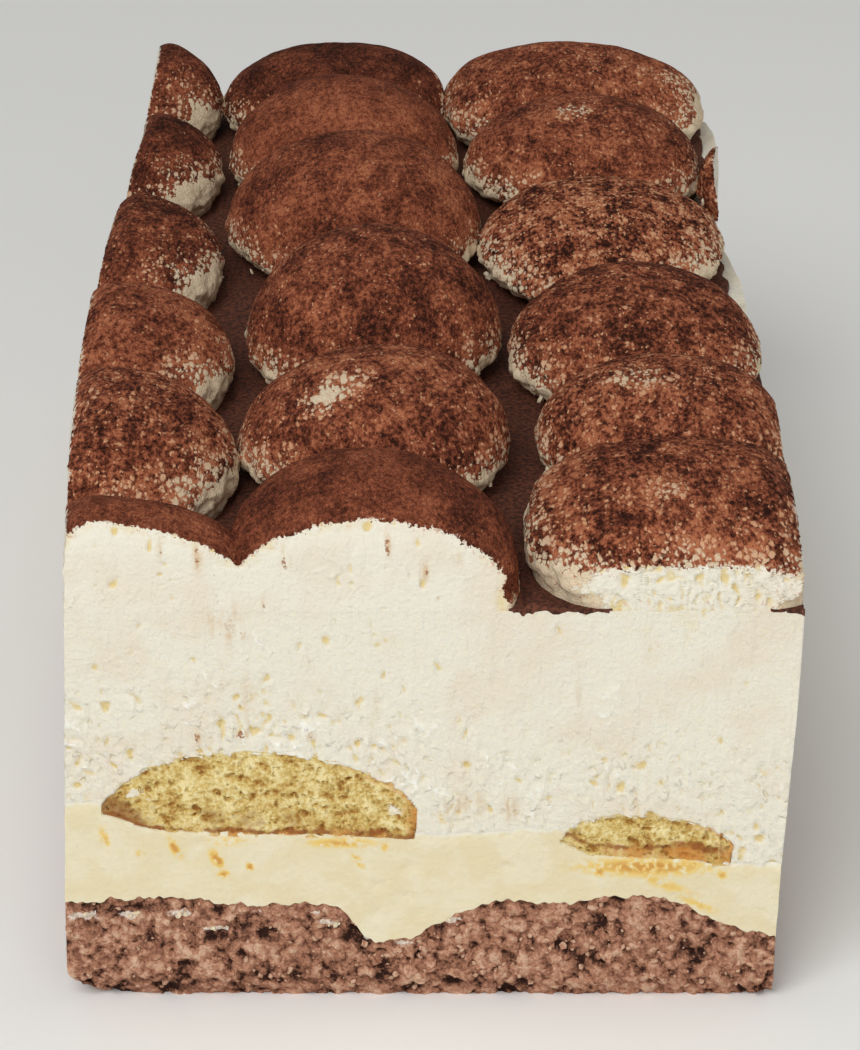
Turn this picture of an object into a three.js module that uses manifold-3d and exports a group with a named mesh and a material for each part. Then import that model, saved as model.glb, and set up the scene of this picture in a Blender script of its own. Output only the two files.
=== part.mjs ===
// A bar-shaped portion of layered tiramisu, standing on its chocolate sponge.
//
// Millimetres, +Z up. The origin is the centre of the base. The long side lies
// along Y, and the front cut, which shows the layers, faces -Y.
//
// From the bottom up: chocolate sponge, pale custard, two ladyfingers that run
// the whole length, a thick layer of whipped mascarpone cream, and three rows
// of piped cream domes, with a sliver of a fourth row at the right edge. All
// four sides are knife cuts, and one knife-shaped solid trims every layer, so
// that their cut faces are flush.

import * as THREE from 'three';
import { mergeVertices } from 'three/addons/utils/BufferGeometryUtils.js';
import Module from 'manifold-3d';

const wasm = await Module();
wasm.setup();

// ---- Driving dimensions ----------------------------------------------------

const LENGTH = 162;
const WIDTH = 81;
const CREAM_TOP = 47;
const GAP = 0.3;

// Chocolate sponge, with a dip that the custard fills and a low right side.
const SPONGE_HEIGHT = 12.2;
const SPONGE_DIP = { x: -4, depth: 4.2, leftReach: 5, rightReach: 14 };
const SPONGE_FALL = { from: 25, to: 41, drop: 4.4 };

// Custard, which is thicker along the left side and thinner along the right.
const CUSTARD_HEIGHT = 20.4;
const CUSTARD_RISE = { from: -21, to: -36, lift: 3.8 };
const CUSTARD_FALL = { from: 15, to: 34, drop: 3.8 };

// Ladyfingers: a flat sugar-brown base under a low domed crumb.
const LADYFINGERS = {
  ladyfinger_left: { x: -16.7, halfWidth: 17, base: 20.2, height: 10.2, tip: 2.8, tilt: -0.03 },
  ladyfinger_right: { x: 24.4, halfWidth: 9.3, base: 17.2, height: 5.6, tip: 2.2, tilt: -0.06 },
};
const LADYFINGER_STEPS = 6;
const LADYFINGER_ARC_STEPS = 12;

// Piped domes. Each has its centre, its reach across and along, its height over
// the cream layer, and how far its peak leans back; 'peak' under 1 is pointed.
// A dome stands on a foot narrower than its belly and is oval in plan, unless it
// says another foot, or corners over 2, which fill the belly out to a box.
const DOME_BELLY = 3.2;
const DOME_LIP = 4.5;
const DOME_FOOT = 0.7;
const DOME_CORNERS = 2;
const DOME_ROWS_BELOW = 2;
const DOME_ROWS_ABOVE = 6;
const DOME_SIDES = 20;
const DOMES = {
  left: [
    { x: -35, y: -79, across: 17, along: 15, height: 9.8, lean: 0, peak: 0.85, foot: 0.98 },
    { x: -35, y: -50.5, across: 15.2, along: 17.5, height: 10.4, lean: 4, peak: 1 },
    { x: -36.5, y: -22.5, across: 15.2, along: 17.5, height: 10, lean: 4, peak: 1 },
    { x: -38.5, y: 10, across: 15, along: 18, height: 9, lean: 3, peak: 1 },
    { x: -41, y: 42, across: 15, along: 17.5, height: 10.2, lean: 3, peak: 1 },
    { x: -41.5, y: 70, across: 15, along: 15.5, height: 11.9, lean: 2, peak: 1 },
  ],
  middle: [
    { x: -5, y: -74.5, across: 15.2, along: 16.5, height: 11.6, lean: 5, peak: 0.85, foot: 0.98 },
    { x: -4.5, y: -45.5, across: 15.5, along: 16.5, height: 12.1, lean: 3, peak: 1 },
    { x: -5.5, y: -14, across: 14.8, along: 18.5, height: 15, lean: 3, peak: 1 },
    { x: -8, y: 22, across: 16, along: 18.5, height: 14, lean: 3, peak: 1 },
    { x: -10, y: 49.5, across: 15.5, along: 16.5, height: 12.4, lean: 3, peak: 1 },
    { x: -11.5, y: 70, across: 15.5, along: 15, height: 10.6, lean: 2, peak: 1 },
  ],
  right: [
    {
      x: 28.5, y: -66.3, across: 16.8, along: 16.5, height: 9.6, lean: 3, peak: 0.9,
      foot: 0.95, corners: 3.2,
    },
    { x: 28, y: -45.5, across: 15, along: 16.5, height: 10.8, lean: 3, peak: 1 },
    { x: 25.5, y: -18, across: 15.3, along: 18, height: 10.4, lean: 4, peak: 1 },
    { x: 22.5, y: 15.5, across: 15.3, along: 19, height: 8.8, lean: 4, peak: 1 },
    { x: 21.5, y: 45.5, across: 15.3, along: 17, height: 10.8, lean: 3, peak: 1 },
    { x: 20.5, y: 69.5, across: 18, along: 15, height: 10.7, lean: 2, peak: 1 },
  ],
  edge: [
    { x: 51.5, y: 37, across: 15.5, along: 20, height: 9, lean: 0, peak: 1 },
  ],
};

// The cut sides: how far they lean and bow from a straight box.
const LEFT_TOP_INSET = 1.3;
const LEFT_BOW = 2.5;
const LEFT_BOW_LENGTH = 125;
const RIGHT_FOOT_INSET = 1.8;
const RIGHT_BOW = { y: 34, reach: 26, depth: 2.2 };
const FOOT_ROUNDING = 1.1;
const FOOT_ROUNDING_HEIGHT = 2.2;
const DOME_CUT_ROUNDING = { from: 53, to: 61, inset: 1.4 };

// The domes also slope down towards the two long cuts.
const SHOULDER = { reach: 4, slope: 1.3 };

// Facets of the two knives and of the layer surfaces. The sponge's knife has
// smaller facets, for its crumb.
const SPONGE_KNIFE = {
  across: 26,
  along: 42,
  levels: [-2, 0, 2.2, 4.6, 7, 9.4, 12, 16],
  relief: 1.1,
};
const CREAM_KNIFE = {
  across: 18,
  along: 26,
  levels: [5, 15, 25, 36, 47.1, 53, 57, 64],
  relief: 0.3,
};
const LAYER_CELLS_ACROSS = 20;
const LAYER_CELLS_ALONG = 7;
const LAYER_OVERHANG = 4;

const HALF_LENGTH = LENGTH / 2;
const HALF_WIDTH = WIDTH / 2;

// ---- Materials -------------------------------------------------------------

const material = (color, roughness) =>
  new THREE.MeshStandardMaterial({ color, roughness, metalness: 0 });

const MATERIALS = {
  sponge: material(0x7a4f3f, 0.95),
  custard: material(0xe8deb4, 0.55),
  cream: material(0xebe6d2, 0.6),
  ladyfinger: material(0xcfb162, 0.95),
  cocoaCream: material(0x6e3b28, 0.95),
};

// ---- Small helpers ---------------------------------------------------------

const clamp01 = (value) => Math.min(1, Math.max(0, value));

/** Smooth step from 0 at 'from' to 1 at 'to'; 'to' may be the smaller one. */
function ramp(value, from, to) {
  const t = clamp01((value - from) / (to - from));
  return t * t * (3 - 2 * t);
}

/** A repeatable uneven value from 0 to 1 for a pair of whole numbers. */
function uneven(a, b) {
  const wave = Math.sin(a * 12.9898 + b * 78.233) * 43758.5453;
  return wave - Math.floor(wave);
}

/** A geometry from a flat list of coordinates and one of corner numbers. */
function indexedGeometry(positions, triangles) {
  const geometry = new THREE.BufferGeometry();
  geometry.setAttribute('position', new THREE.Float32BufferAttribute(positions, 3));
  geometry.setIndex(triangles);
  return geometry;
}

/** Turns a closed geometry into a solid that can be cut and joined. */
function solidOf(geometry) {
  const bare = geometry.clone();
  bare.deleteAttribute('normal');
  bare.deleteAttribute('uv');
  const merged = mergeVertices(bare, 1e-4);
  const mesh = new wasm.Mesh({
    numProp: 3,
    vertProperties: new Float32Array(merged.attributes.position.array),
    triVerts: new Uint32Array(merged.index.array),
  });
  return new wasm.Manifold(mesh);
}

/** Turns a solid back into a geometry. */
function geometryOf(solid) {
  const mesh = solid.getMesh();
  const geometry = indexedGeometry([...mesh.vertProperties], [...mesh.triVerts]);
  geometry.computeVertexNormals();
  return geometry;
}

/** The largest body of a solid, without loose scraps that cutting left. */
function mainBody(solid) {
  const bodies = solid.decompose();
  bodies.sort((a, b) => b.volume() - a.volume());
  return bodies[0];
}

/** Moves every vertex of a geometry by a function of its position. */
function reshape(geometry, move) {
  const position = geometry.attributes.position;
  const point = new THREE.Vector3();
  for (let i = 0; i < position.count; i += 1) {
    point.fromBufferAttribute(position, i);
    move(point);
    position.setXYZ(i, point.x, point.y, point.z);
  }
  return geometry;
}

// ---- The cut sides ---------------------------------------------------------

/** Where the left cut stands: bowed out along its front two thirds. */
function leftSide(y, z) {
  const bow = LEFT_BOW * Math.sin(Math.PI * clamp01((y + HALF_LENGTH) / LEFT_BOW_LENGTH));
  const inset = LEFT_TOP_INSET * Math.sin((Math.PI * clamp01(z / 60)) / 2) ** 2;
  return -(HALF_WIDTH - LEFT_BOW) + inset - bow;
}

/** Where the right cut stands: drawn in at its foot, and bowed in behind. */
function rightSide(y, z) {
  const rise = Math.sin((Math.PI * clamp01(z / 50)) / 2) ** 2;
  const bow = RIGHT_BOW.depth * (1 - ramp(Math.abs(y - RIGHT_BOW.y), 0, RIGHT_BOW.reach));
  return HALF_WIDTH - RIGHT_FOOT_INSET * (1 - rise) - bow * rise;
}

/** How far a cut face goes in at one place: its relief, round foot and top. */
function reliefDepth(blade, column, level) {
  const z = blade.levels[level];
  const foot = FOOT_ROUNDING * (1 - ramp(z, -1, FOOT_ROUNDING_HEIGHT));
  const top = DOME_CUT_ROUNDING.inset * ramp(z, DOME_CUT_ROUNDING.from, DOME_CUT_ROUNDING.to);
  return foot + top + blade.relief * uneven(column, level) ** 2;
}

/**
 * Walks round the outline once, counterclockwise from the front left corner.
 * Each station has its place across and along the bar, from -1 to 1.
 */
function outlineStations(blade) {
  const stations = [];
  const walk = (steps, place) => {
    for (let i = 0; i < steps; i += 1) {
      stations.push(place((2 * i) / steps - 1));
    }
  };
  walk(blade.across, (t) => ({ across: t, along: -1 }));
  walk(blade.along, (t) => ({ across: 1, along: t }));
  walk(blade.across, (t) => ({ across: -t, along: 1 }));
  walk(blade.along, (t) => ({ across: -1, along: -t }));
  return stations;
}

/** One point of the knife's wall, with its relief drawn inwards. */
function wallPoint(blade, station, column, level) {
  const z = blade.levels[level];
  const depth = reliefDepth(blade, column, level);
  const insetAcross = Math.abs(station.across) === 1 ? depth : 0;
  const insetAlong = Math.abs(station.along) === 1 ? depth : 0;
  const y = station.along * (HALF_LENGTH - insetAlong);
  const left = leftSide(y, z) + insetAcross;
  const right = rightSide(y, z) - insetAcross;
  const x = left + ((station.across + 1) / 2) * (right - left);
  return [x, y, z];
}

/** The solid that layers are trimmed by: four uneven cut walls. */
function knife(blade) {
  const stations = outlineStations(blade);
  const columns = stations.length;
  const levels = blade.levels.length;
  const positions = [];
  const triangles = [];
  for (let level = 0; level < levels; level += 1) {
    stations.forEach((station, column) => {
      positions.push(...wallPoint(blade, station, column, level));
    });
  }
  for (let level = 0; level < levels - 1; level += 1) {
    for (let column = 0; column < columns; column += 1) {
      const next = (column + 1) % columns;
      const low = level * columns;
      const high = low + columns;
      triangles.push(low + column, low + next, high + next);
      triangles.push(low + column, high + next, high + column);
    }
  }
  const bottom = levels * columns;
  const top = bottom + 1;
  const highest = (levels - 1) * columns;
  positions.push(0, 0, blade.levels[0], 0, 0, blade.levels[levels - 1]);
  for (let column = 0; column < columns; column += 1) {
    const next = (column + 1) % columns;
    triangles.push(bottom, next, column);
    triangles.push(top, highest + column, highest + next);
  }
  return solidOf(indexedGeometry(positions, triangles));
}

// ---- The surfaces between the layers ---------------------------------------

/** Top of the chocolate sponge. */
function spongeTop(x, y) {
  const drift = 1.5 * Math.sin(y / 23 + 3.5);
  const offset = x - SPONGE_DIP.x - drift;
  const reach = offset < 0 ? SPONGE_DIP.leftReach : SPONGE_DIP.rightReach;
  const dip = SPONGE_DIP.depth * (1 - ramp(Math.abs(offset), 0, reach));
  const fall = SPONGE_FALL.drop * ramp(x, SPONGE_FALL.from, SPONGE_FALL.to);
  const wave = 0.5 * Math.sin(y / 11 + x / 9) + 0.3 * Math.sin(x / 2.7 + y / 6);
  return SPONGE_HEIGHT - dip - fall + wave;
}

/** Top of the custard. */
function custardTop(x, y) {
  const rise = CUSTARD_RISE.lift * ramp(x, CUSTARD_RISE.from, CUSTARD_RISE.to);
  const fall = CUSTARD_FALL.drop * ramp(x, CUSTARD_FALL.from, CUSTARD_FALL.to);
  const wave = 0.5 * Math.sin(y / 13 + 1.2) + 0.3 * Math.sin(x / 5 - y / 17);
  return CUSTARD_HEIGHT + rise - fall + wave;
}

/**
 * A slab between two surfaces, wider than the cuts that will trim it. Both
 * surfaces are split along the same diagonals, so that the top of one layer and
 * the bottom of the next stay a constant gap apart.
 */
function slab(bottomAt, topAt) {
  const columns = LAYER_CELLS_ACROSS + 1;
  const rows = LAYER_CELLS_ALONG + 1;
  const lift = columns * rows;
  const bottoms = [];
  const tops = [];
  for (let row = 0; row < rows; row += 1) {
    for (let column = 0; column < columns; column += 1) {
      const x = (column / LAYER_CELLS_ACROSS - 0.5) * (WIDTH + 2 * LAYER_OVERHANG);
      const y = (row / LAYER_CELLS_ALONG - 0.5) * (LENGTH + 2 * LAYER_OVERHANG);
      bottoms.push(x, y, bottomAt(x, y));
      tops.push(x, y, topAt(x, y));
    }
  }
  const triangles = [];
  for (let row = 0; row < LAYER_CELLS_ALONG; row += 1) {
    for (let column = 0; column < LAYER_CELLS_ACROSS; column += 1) {
      const a = row * columns + column;
      const b = a + 1;
      const c = b + columns;
      const d = a + columns;
      triangles.push(a, c, b, a, d, c);
      triangles.push(lift + a, lift + b, lift + c, lift + a, lift + c, lift + d);
    }
  }
  const wall = (from, to) => {
    triangles.push(from, to, lift + to, from, lift + to, lift + from);
  };
  for (let column = 0; column < LAYER_CELLS_ACROSS; column += 1) {
    wall(column, column + 1);
    wall(lift - 1 - column, lift - 2 - column);
  }
  for (let row = 0; row < LAYER_CELLS_ALONG; row += 1) {
    wall((row + 1) * columns - 1, (row + 2) * columns - 1);
    wall((row + 1) * columns, row * columns);
  }
  return solidOf(indexedGeometry([...bottoms, ...tops], triangles));
}

// ---- Ladyfingers -----------------------------------------------------------

/** Cross-section of a ladyfinger, seen along Y and grown by a clearance. */
function ladyfingerShape(size, clearance) {
  const halfWidth = size.halfWidth + clearance;
  const base = size.base - clearance;
  const shape = new THREE.Shape();
  shape.moveTo(size.x - halfWidth * 0.72, base - size.tilt * halfWidth * 0.72);
  shape.lineTo(size.x + halfWidth * 0.95, base + size.tilt * halfWidth * 0.95);
  const rise = size.height - size.tip + 2 * clearance;
  for (let i = 0; i <= LADYFINGER_ARC_STEPS; i += 1) {
    const angle = (Math.PI * i) / LADYFINGER_ARC_STEPS;
    const x = Math.cos(angle) * halfWidth;
    const lift = rise * Math.sin(angle) ** 1.1;
    shape.lineTo(size.x + x, base + size.tip + lift + size.tilt * x);
  }
  shape.closePath();
  return shape;
}

/** A ladyfinger that runs along Y, a little narrower and lower here and there. */
function ladyfinger(size, clearance) {
  const geometry = new THREE.ExtrudeGeometry(ladyfingerShape(size, clearance), {
    depth: LENGTH + 2 * LAYER_OVERHANG,
    steps: LADYFINGER_STEPS,
    bevelEnabled: false,
  });
  geometry.rotateX(Math.PI / 2);
  geometry.translate(0, HALF_LENGTH + LAYER_OVERHANG, 0);
  return solidOf(reshape(geometry, (point) => {
    const swell = 1 - 0.05 * (1 - Math.cos((point.y + HALF_LENGTH) / 19));
    point.x = size.x + (point.x - size.x) * swell;
    point.z = size.base + (point.z - size.base) * swell;
  }));
}

// ---- Piped domes -----------------------------------------------------------

/** Outline of a dome from the axis under it to its peak, one unit wide. */
function domeProfile(dome) {
  const points = [new THREE.Vector2(0, 0)];
  const lowest = -Math.asin(DOME_BELLY / DOME_LIP);
  const tuck = (1 - (dome.foot ?? DOME_FOOT)) / (1 - Math.cos(lowest));
  for (let i = 0; i < DOME_ROWS_BELOW; i += 1) {
    const angle = lowest * (1 - i / DOME_ROWS_BELOW);
    const reach = 1 - tuck * (1 - Math.cos(angle));
    const height = DOME_BELLY + DOME_LIP * Math.sin(angle);
    points.push(new THREE.Vector2(reach, Math.max(0, height)));
  }
  for (let i = 0; i < DOME_ROWS_ABOVE; i += 1) {
    const angle = (Math.PI / 2) * (i / DOME_ROWS_ABOVE);
    const height = DOME_BELLY + (dome.height - DOME_BELLY) * Math.sin(angle);
    points.push(new THREE.Vector2(Math.cos(angle) ** (1 / dome.peak), height));
  }
  points.push(new THREE.Vector2(0, dome.height));
  return points;
}

/** How far a dome's outline strays from an ellipse in one direction. */
function outlineWobble(angle, seed) {
  return 1 + 0.025 * Math.sin(2 * angle + seed) + 0.02 * Math.sin(3 * angle + 2 * seed);
}

/** How far a dome's corners fill out, which fades towards its peak. */
function cornerStretch(angle, corners, rise) {
  const across = Math.abs(Math.cos(angle)) ** corners;
  const along = Math.abs(Math.sin(angle)) ** corners;
  const box = (across + along) ** (-1 / corners);
  return box + (1 - box) * rise;
}

/** How far a dome's shoulder drops towards the two long cuts. */
function shoulderDrop(point) {
  const left = leftSide(point.y, CREAM_TOP) + SHOULDER.reach - point.x;
  const right = point.x - rightSide(point.y, CREAM_TOP) + SHOULDER.reach;
  const past = Math.min(Math.max(left, right, 0), 2 * SHOULDER.reach);
  return (SHOULDER.slope * past ** 2) / (2 * SHOULDER.reach);
}

/** A whole dome where it was piped, before its neighbours and the cuts. */
function pipedDome(dome, seed) {
  const geometry = new THREE.LatheGeometry(domeProfile(dome), DOME_SIDES);
  geometry.rotateX(Math.PI / 2);
  return solidOf(reshape(geometry, (point) => {
    const angle = Math.atan2(point.y, point.x);
    const rise = clamp01((point.z - DOME_BELLY) / (dome.height - DOME_BELLY));
    const corners = cornerStretch(angle, dome.corners ?? DOME_CORNERS, rise);
    const stretch = corners * outlineWobble(angle, seed);
    point.x = dome.x + dome.across * point.x * stretch;
    point.y = dome.y + dome.along * point.y * stretch + dome.lean * rise;
    point.z += CREAM_TOP + GAP - rise * shoulderDrop(point);
  }));
}

/** A dome's reach from its centre towards a direction in plan. */
function reachTowards(dome, direction) {
  return Math.hypot(dome.across * direction.x, dome.along * direction.y);
}

/** Cuts a dome where a neighbour presses against it, half the gap each. */
function trimAgainst(solid, dome, neighbour) {
  const way = new THREE.Vector2(neighbour.x - dome.x, neighbour.y - dome.y);
  const distance = way.length();
  way.normalize();
  const own = reachTowards(dome, way);
  const other = reachTowards(neighbour, way);
  const slack = distance - own - other;
  if (slack > 3) {
    return solid;
  }
  const share = own + slack / 2;
  const x = dome.x + way.x * share;
  const y = dome.y + way.y * share;
  const offset = x * way.x + y * way.y - GAP / 2;
  return solid.trimByPlane([-way.x, -way.y, 0], -offset);
}

// ---- Assembly --------------------------------------------------------------

const portion = new THREE.Group();

function addNode(name, solid, finish) {
  const mesh = new THREE.Mesh(geometryOf(mainBody(solid)), finish);
  mesh.name = name;
  portion.add(mesh);
}

const spongeCut = knife(SPONGE_KNIFE);
const cut = knife(CREAM_KNIFE);

const sponge = slab(() => 0, spongeTop);
addNode('chocolate_sponge', sponge.intersect(spongeCut), MATERIALS.sponge);

const custardBottom = (x, y) => spongeTop(x, y) + GAP;
let custard = slab(custardBottom, custardTop);
const creamBottom = (x, y) => custardTop(x, y) + GAP;
let cream = slab(creamBottom, () => CREAM_TOP);
for (const [name, size] of Object.entries(LADYFINGERS)) {
  addNode(name, ladyfinger(size, 0).intersect(cut), MATERIALS.ladyfinger);
  const hollow = ladyfinger(size, GAP);
  custard = custard.subtract(hollow);
  cream = cream.subtract(hollow);
}
addNode('custard_layer', custard.intersect(cut), MATERIALS.custard);
addNode('cream_layer', cream.intersect(cut), MATERIALS.cream);

const allDomes = Object.values(DOMES).flat();
for (const [side, row] of Object.entries(DOMES)) {
  row.forEach((dome, index) => {
    let solid = pipedDome(dome, 1.7 * allDomes.indexOf(dome));
    for (const neighbour of allDomes) {
      if (neighbour !== dome) {
        solid = trimAgainst(solid, dome, neighbour);
      }
    }
    addNode(`cream_dome_${side}_${index + 1}`, solid.intersect(cut), MATERIALS.cocoaCream);
  });
}

export default portion;
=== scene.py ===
"""A bar-shaped portion of layered tiramisu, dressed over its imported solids.

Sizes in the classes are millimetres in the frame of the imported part: the origin
is the centre of the base, Y runs along the bar from the front cut, which shows
the layers, and Z is up. Every mesh is written in metres.
"""

import logging
import math
from contextlib import contextmanager
from dataclasses import dataclass
from enum import Enum
from typing import Callable, Iterator, Sequence

import bmesh
import bpy
import numpy as np
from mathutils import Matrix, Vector


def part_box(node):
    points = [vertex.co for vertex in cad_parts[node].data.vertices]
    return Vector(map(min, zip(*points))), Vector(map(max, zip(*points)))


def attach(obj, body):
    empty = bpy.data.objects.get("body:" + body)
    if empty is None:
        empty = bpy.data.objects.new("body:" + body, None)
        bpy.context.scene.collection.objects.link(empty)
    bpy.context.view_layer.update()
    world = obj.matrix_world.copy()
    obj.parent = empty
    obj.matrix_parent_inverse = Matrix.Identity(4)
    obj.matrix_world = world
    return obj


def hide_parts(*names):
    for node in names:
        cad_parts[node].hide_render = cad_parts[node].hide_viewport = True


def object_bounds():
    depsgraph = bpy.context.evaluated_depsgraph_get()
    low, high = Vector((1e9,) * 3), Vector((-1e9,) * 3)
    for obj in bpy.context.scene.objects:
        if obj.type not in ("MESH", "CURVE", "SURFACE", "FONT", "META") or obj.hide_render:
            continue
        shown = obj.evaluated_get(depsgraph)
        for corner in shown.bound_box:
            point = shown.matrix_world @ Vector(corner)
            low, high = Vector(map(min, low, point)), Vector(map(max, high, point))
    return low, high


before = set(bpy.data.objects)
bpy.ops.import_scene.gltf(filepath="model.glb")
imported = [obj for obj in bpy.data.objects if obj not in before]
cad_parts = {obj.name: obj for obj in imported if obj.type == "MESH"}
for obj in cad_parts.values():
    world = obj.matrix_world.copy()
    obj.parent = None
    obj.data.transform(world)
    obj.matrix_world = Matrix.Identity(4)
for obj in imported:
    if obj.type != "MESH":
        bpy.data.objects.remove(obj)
CAD_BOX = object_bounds()

log = logging.getLogger("tiramisu")

MM = 0.001
BODY = "root"
SMOOTH_ANGLE = math.radians(55)
HALF_LENGTH = CAD_BOX[1][1] / MM
CREAM_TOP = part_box("cream_layer")[1][2] / MM
HIGHEST = CAD_BOX[1][2] / MM

Colour = tuple[float, float, float]
Piece = bpy.types.Object
Socket = bpy.types.NodeSocket
Material = bpy.types.Material


# ---- Small helpers ---------------------------------------------------------


def srgb(red: int, green: int, blue: int) -> Colour:
    """Turns a colour given as 0 to 255 screen values into linear light.

    Args:
        red: Red, 0 to 255.
        green: Green, 0 to 255.
        blue: Blue, 0 to 255.

    Returns:
        The linear colour.
    """
    linear = []
    for value in (red, green, blue):
        share = value / 255
        linear.append(share / 12.92 if share <= 0.04045 else ((share + 0.055) / 1.055) ** 2.4)
    return tuple(linear)


def ramp(value: np.ndarray, start: float, end: float) -> np.ndarray:
    """Smooth step from 0 at start to 1 at end.

    Args:
        value: Where to read the step.
        start: Where it is still 0; may be above end.
        end: Where it has reached 1.

    Returns:
        Values from 0 to 1.
    """
    share = np.clip((value - start) / (end - start), 0, 1)
    return share * share * (3 - 2 * share)


def deselect() -> None:
    """Deselects every object."""
    bpy.ops.object.select_all(action="DESELECT")


def activate(piece: Piece) -> None:
    """Makes one object the only selected and the active one.

    Args:
        piece: The object.
    """
    deselect()
    piece.select_set(True)
    bpy.context.view_layer.objects.active = piece


@contextmanager
def editing(piece: Piece) -> Iterator[None]:
    """Edit mode on one object, left again at the end.

    Args:
        piece: The object.

    Yields:
        Nothing.
    """
    activate(piece)
    bpy.ops.object.mode_set(mode="EDIT")
    yield
    bpy.ops.object.mode_set(mode="OBJECT")


def choose_edges(piece: Piece, wanted: Callable[[Vector, Vector], bool]) -> None:
    """Selects the edges of a mesh in edit mode by the places of their ends.

    Args:
        piece: The object in edit mode.
        wanted: Says from an edge's two ends whether it is selected.
    """
    bpy.ops.mesh.select_all(action="DESELECT")
    bpy.ops.mesh.select_mode(type="EDGE")
    mesh = bmesh.from_edit_mesh(piece.data)
    for edge in mesh.edges:
        edge.select_set(wanted(edge.verts[0].co, edge.verts[1].co))
    mesh.select_flush_mode()
    bmesh.update_edit_mesh(piece.data)


def face_outwards() -> None:
    """Turns all the faces of the mesh in edit mode outwards."""
    bpy.ops.mesh.select_all(action="SELECT")
    bpy.ops.mesh.normals_make_consistent(inside=False)


def add_slab(name: str, columns: int, rows: int) -> Piece:
    """Models a grid from -1 to 1, extruded from a height of 0 to 1.

    Args:
        name: The piece's name.
        columns: Its cells along X.
        rows: Its cells along Y.

    Returns:
        The slab.
    """
    deselect()
    bpy.ops.mesh.primitive_grid_add(x_subdivisions=columns, y_subdivisions=rows, size=2)
    piece = bpy.context.object
    piece.name = name
    with editing(piece):
        bpy.ops.mesh.select_all(action="SELECT")
        bpy.ops.mesh.extrude_region_move(TRANSFORM_OT_translate={"value": (0, 0, 1)})
        face_outwards()
    return piece


def read_points(piece: Piece) -> np.ndarray:
    """Reads the vertices of a mesh, one row each.

    Args:
        piece: The object with the mesh.

    Returns:
        Their places, in the mesh's own units.
    """
    flat = np.empty(3 * len(piece.data.vertices), dtype=np.float64)
    piece.data.vertices.foreach_get("co", flat)
    return flat.reshape(-1, 3)


def write_points(piece: Piece, points: np.ndarray) -> None:
    """Writes millimetre points into a mesh as metres."""
    piece.data.vertices.foreach_set("co", (points * MM).ravel())
    piece.data.update()


def write_attributes(piece: Piece, **values: np.ndarray | float) -> None:
    """Keeps numbers for each vertex, which a material can read by name.

    Args:
        piece: The object with the mesh.
        values: One number a vertex, or the same number for all, by name.
    """
    count = len(piece.data.vertices)
    for name, numbers in values.items():
        layer = piece.data.attributes.new(name, "FLOAT", "POINT")
        layer.data.foreach_set("value", np.broadcast_to(numbers, count).astype(np.float32))


def smooth(piece: Piece, angle: float = SMOOTH_ANGLE) -> None:
    """Shades a mesh smooth except along its sharp edges."""
    activate(piece)
    bpy.ops.object.shade_smooth_by_angle(angle=angle)


def hand_over(
    piece: Piece, finish: Material, nodes: Sequence[str] = ()
) -> None:
    """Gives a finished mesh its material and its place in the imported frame.

    Args:
        piece: The finished mesh.
        finish: The material that the mesh wears.
        nodes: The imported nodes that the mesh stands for.
    """
    piece.data.materials.clear()
    piece.data.materials.append(finish)
    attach(piece, BODY)
    if nodes:
        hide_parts(*nodes)
    log.info("%s: %d faces", piece.name, len(piece.data.polygons))


# ---- Unevenness ------------------------------------------------------------


class Unevenness:
    """Repeatable gradient noise and scattered cells in space."""

    CELLS = 256
    GAIN = 1.6

    def __init__(self, seed: int) -> None:
        """Draws the tables that every value comes from.

        Args:
            seed: Start of the random draw.
        """
        draw = np.random.default_rng(seed)
        self.table = draw.permutation(self.CELLS)
        ways = draw.normal(size=(self.CELLS, 3))
        self.ways = ways / np.linalg.norm(ways, axis=1, keepdims=True)
        self.spots = draw.random((self.CELLS, 3))
        self.chances = draw.random(self.CELLS)

    def _index(self, cell: np.ndarray) -> np.ndarray:
        """Picks a table entry for each cell of space.

        Args:
            cell: Whole-numbered cells, one row each.

        Returns:
            The entries.
        """
        wrapped = cell & (self.CELLS - 1)
        column = self.table[wrapped[:, 0]] + wrapped[:, 1]
        row = self.table[column & (self.CELLS - 1)] + wrapped[:, 2]
        return self.table[row & (self.CELLS - 1)]

    def waves(self, points: np.ndarray, size: float | Sequence[float]) -> np.ndarray:
        """Smooth hills and hollows.

        Args:
            points: Where to read them, one row each.
            size: Their size, or one size for each axis.

        Returns:
            Values from about -1 to 1.
        """
        scaled = points / np.asarray(size)
        base = np.floor(scaled).astype(np.int64)
        part = scaled - base
        fade = part**3 * (part * (part * 6 - 15) + 10)
        total = np.zeros(len(points))
        for corner in np.ndindex(2, 2, 2):
            offset = np.array(corner)
            way = self.ways[self._index(base + offset)]
            weight = np.where(offset == 1, fade, 1 - fade).prod(axis=1)
            total += weight * ((part - offset) * way).sum(axis=1)
        return self.GAIN * total

    def cells(self, points: np.ndarray, size: float | Sequence[float]) -> tuple[np.ndarray, np.ndarray]:
        """Finds the nearest of many scattered spots.

        Args:
            points: Where to read, one row each.
            size: The spacing of the spots, or one for each axis.

        Returns:
            The distance to the nearest spot in spacings, and that spot's own
            random number from 0 to 1.
        """
        scaled = points / np.asarray(size)
        base = np.floor(scaled).astype(np.int64)
        nearest = np.full(len(points), np.inf)
        chance = np.zeros(len(points))
        for corner in np.ndindex(3, 3, 3):
            cell = base + np.array(corner) - 1
            index = self._index(cell)
            distance = np.linalg.norm(scaled - cell - self.spots[index], axis=1)
            closer = distance < nearest
            nearest[closer] = distance[closer]
            chance[closer] = self.chances[index[closer]]
        return nearest, chance


GRAIN = Unevenness(7)


# ---- The knife cuts and the surfaces between the layers --------------------


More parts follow.
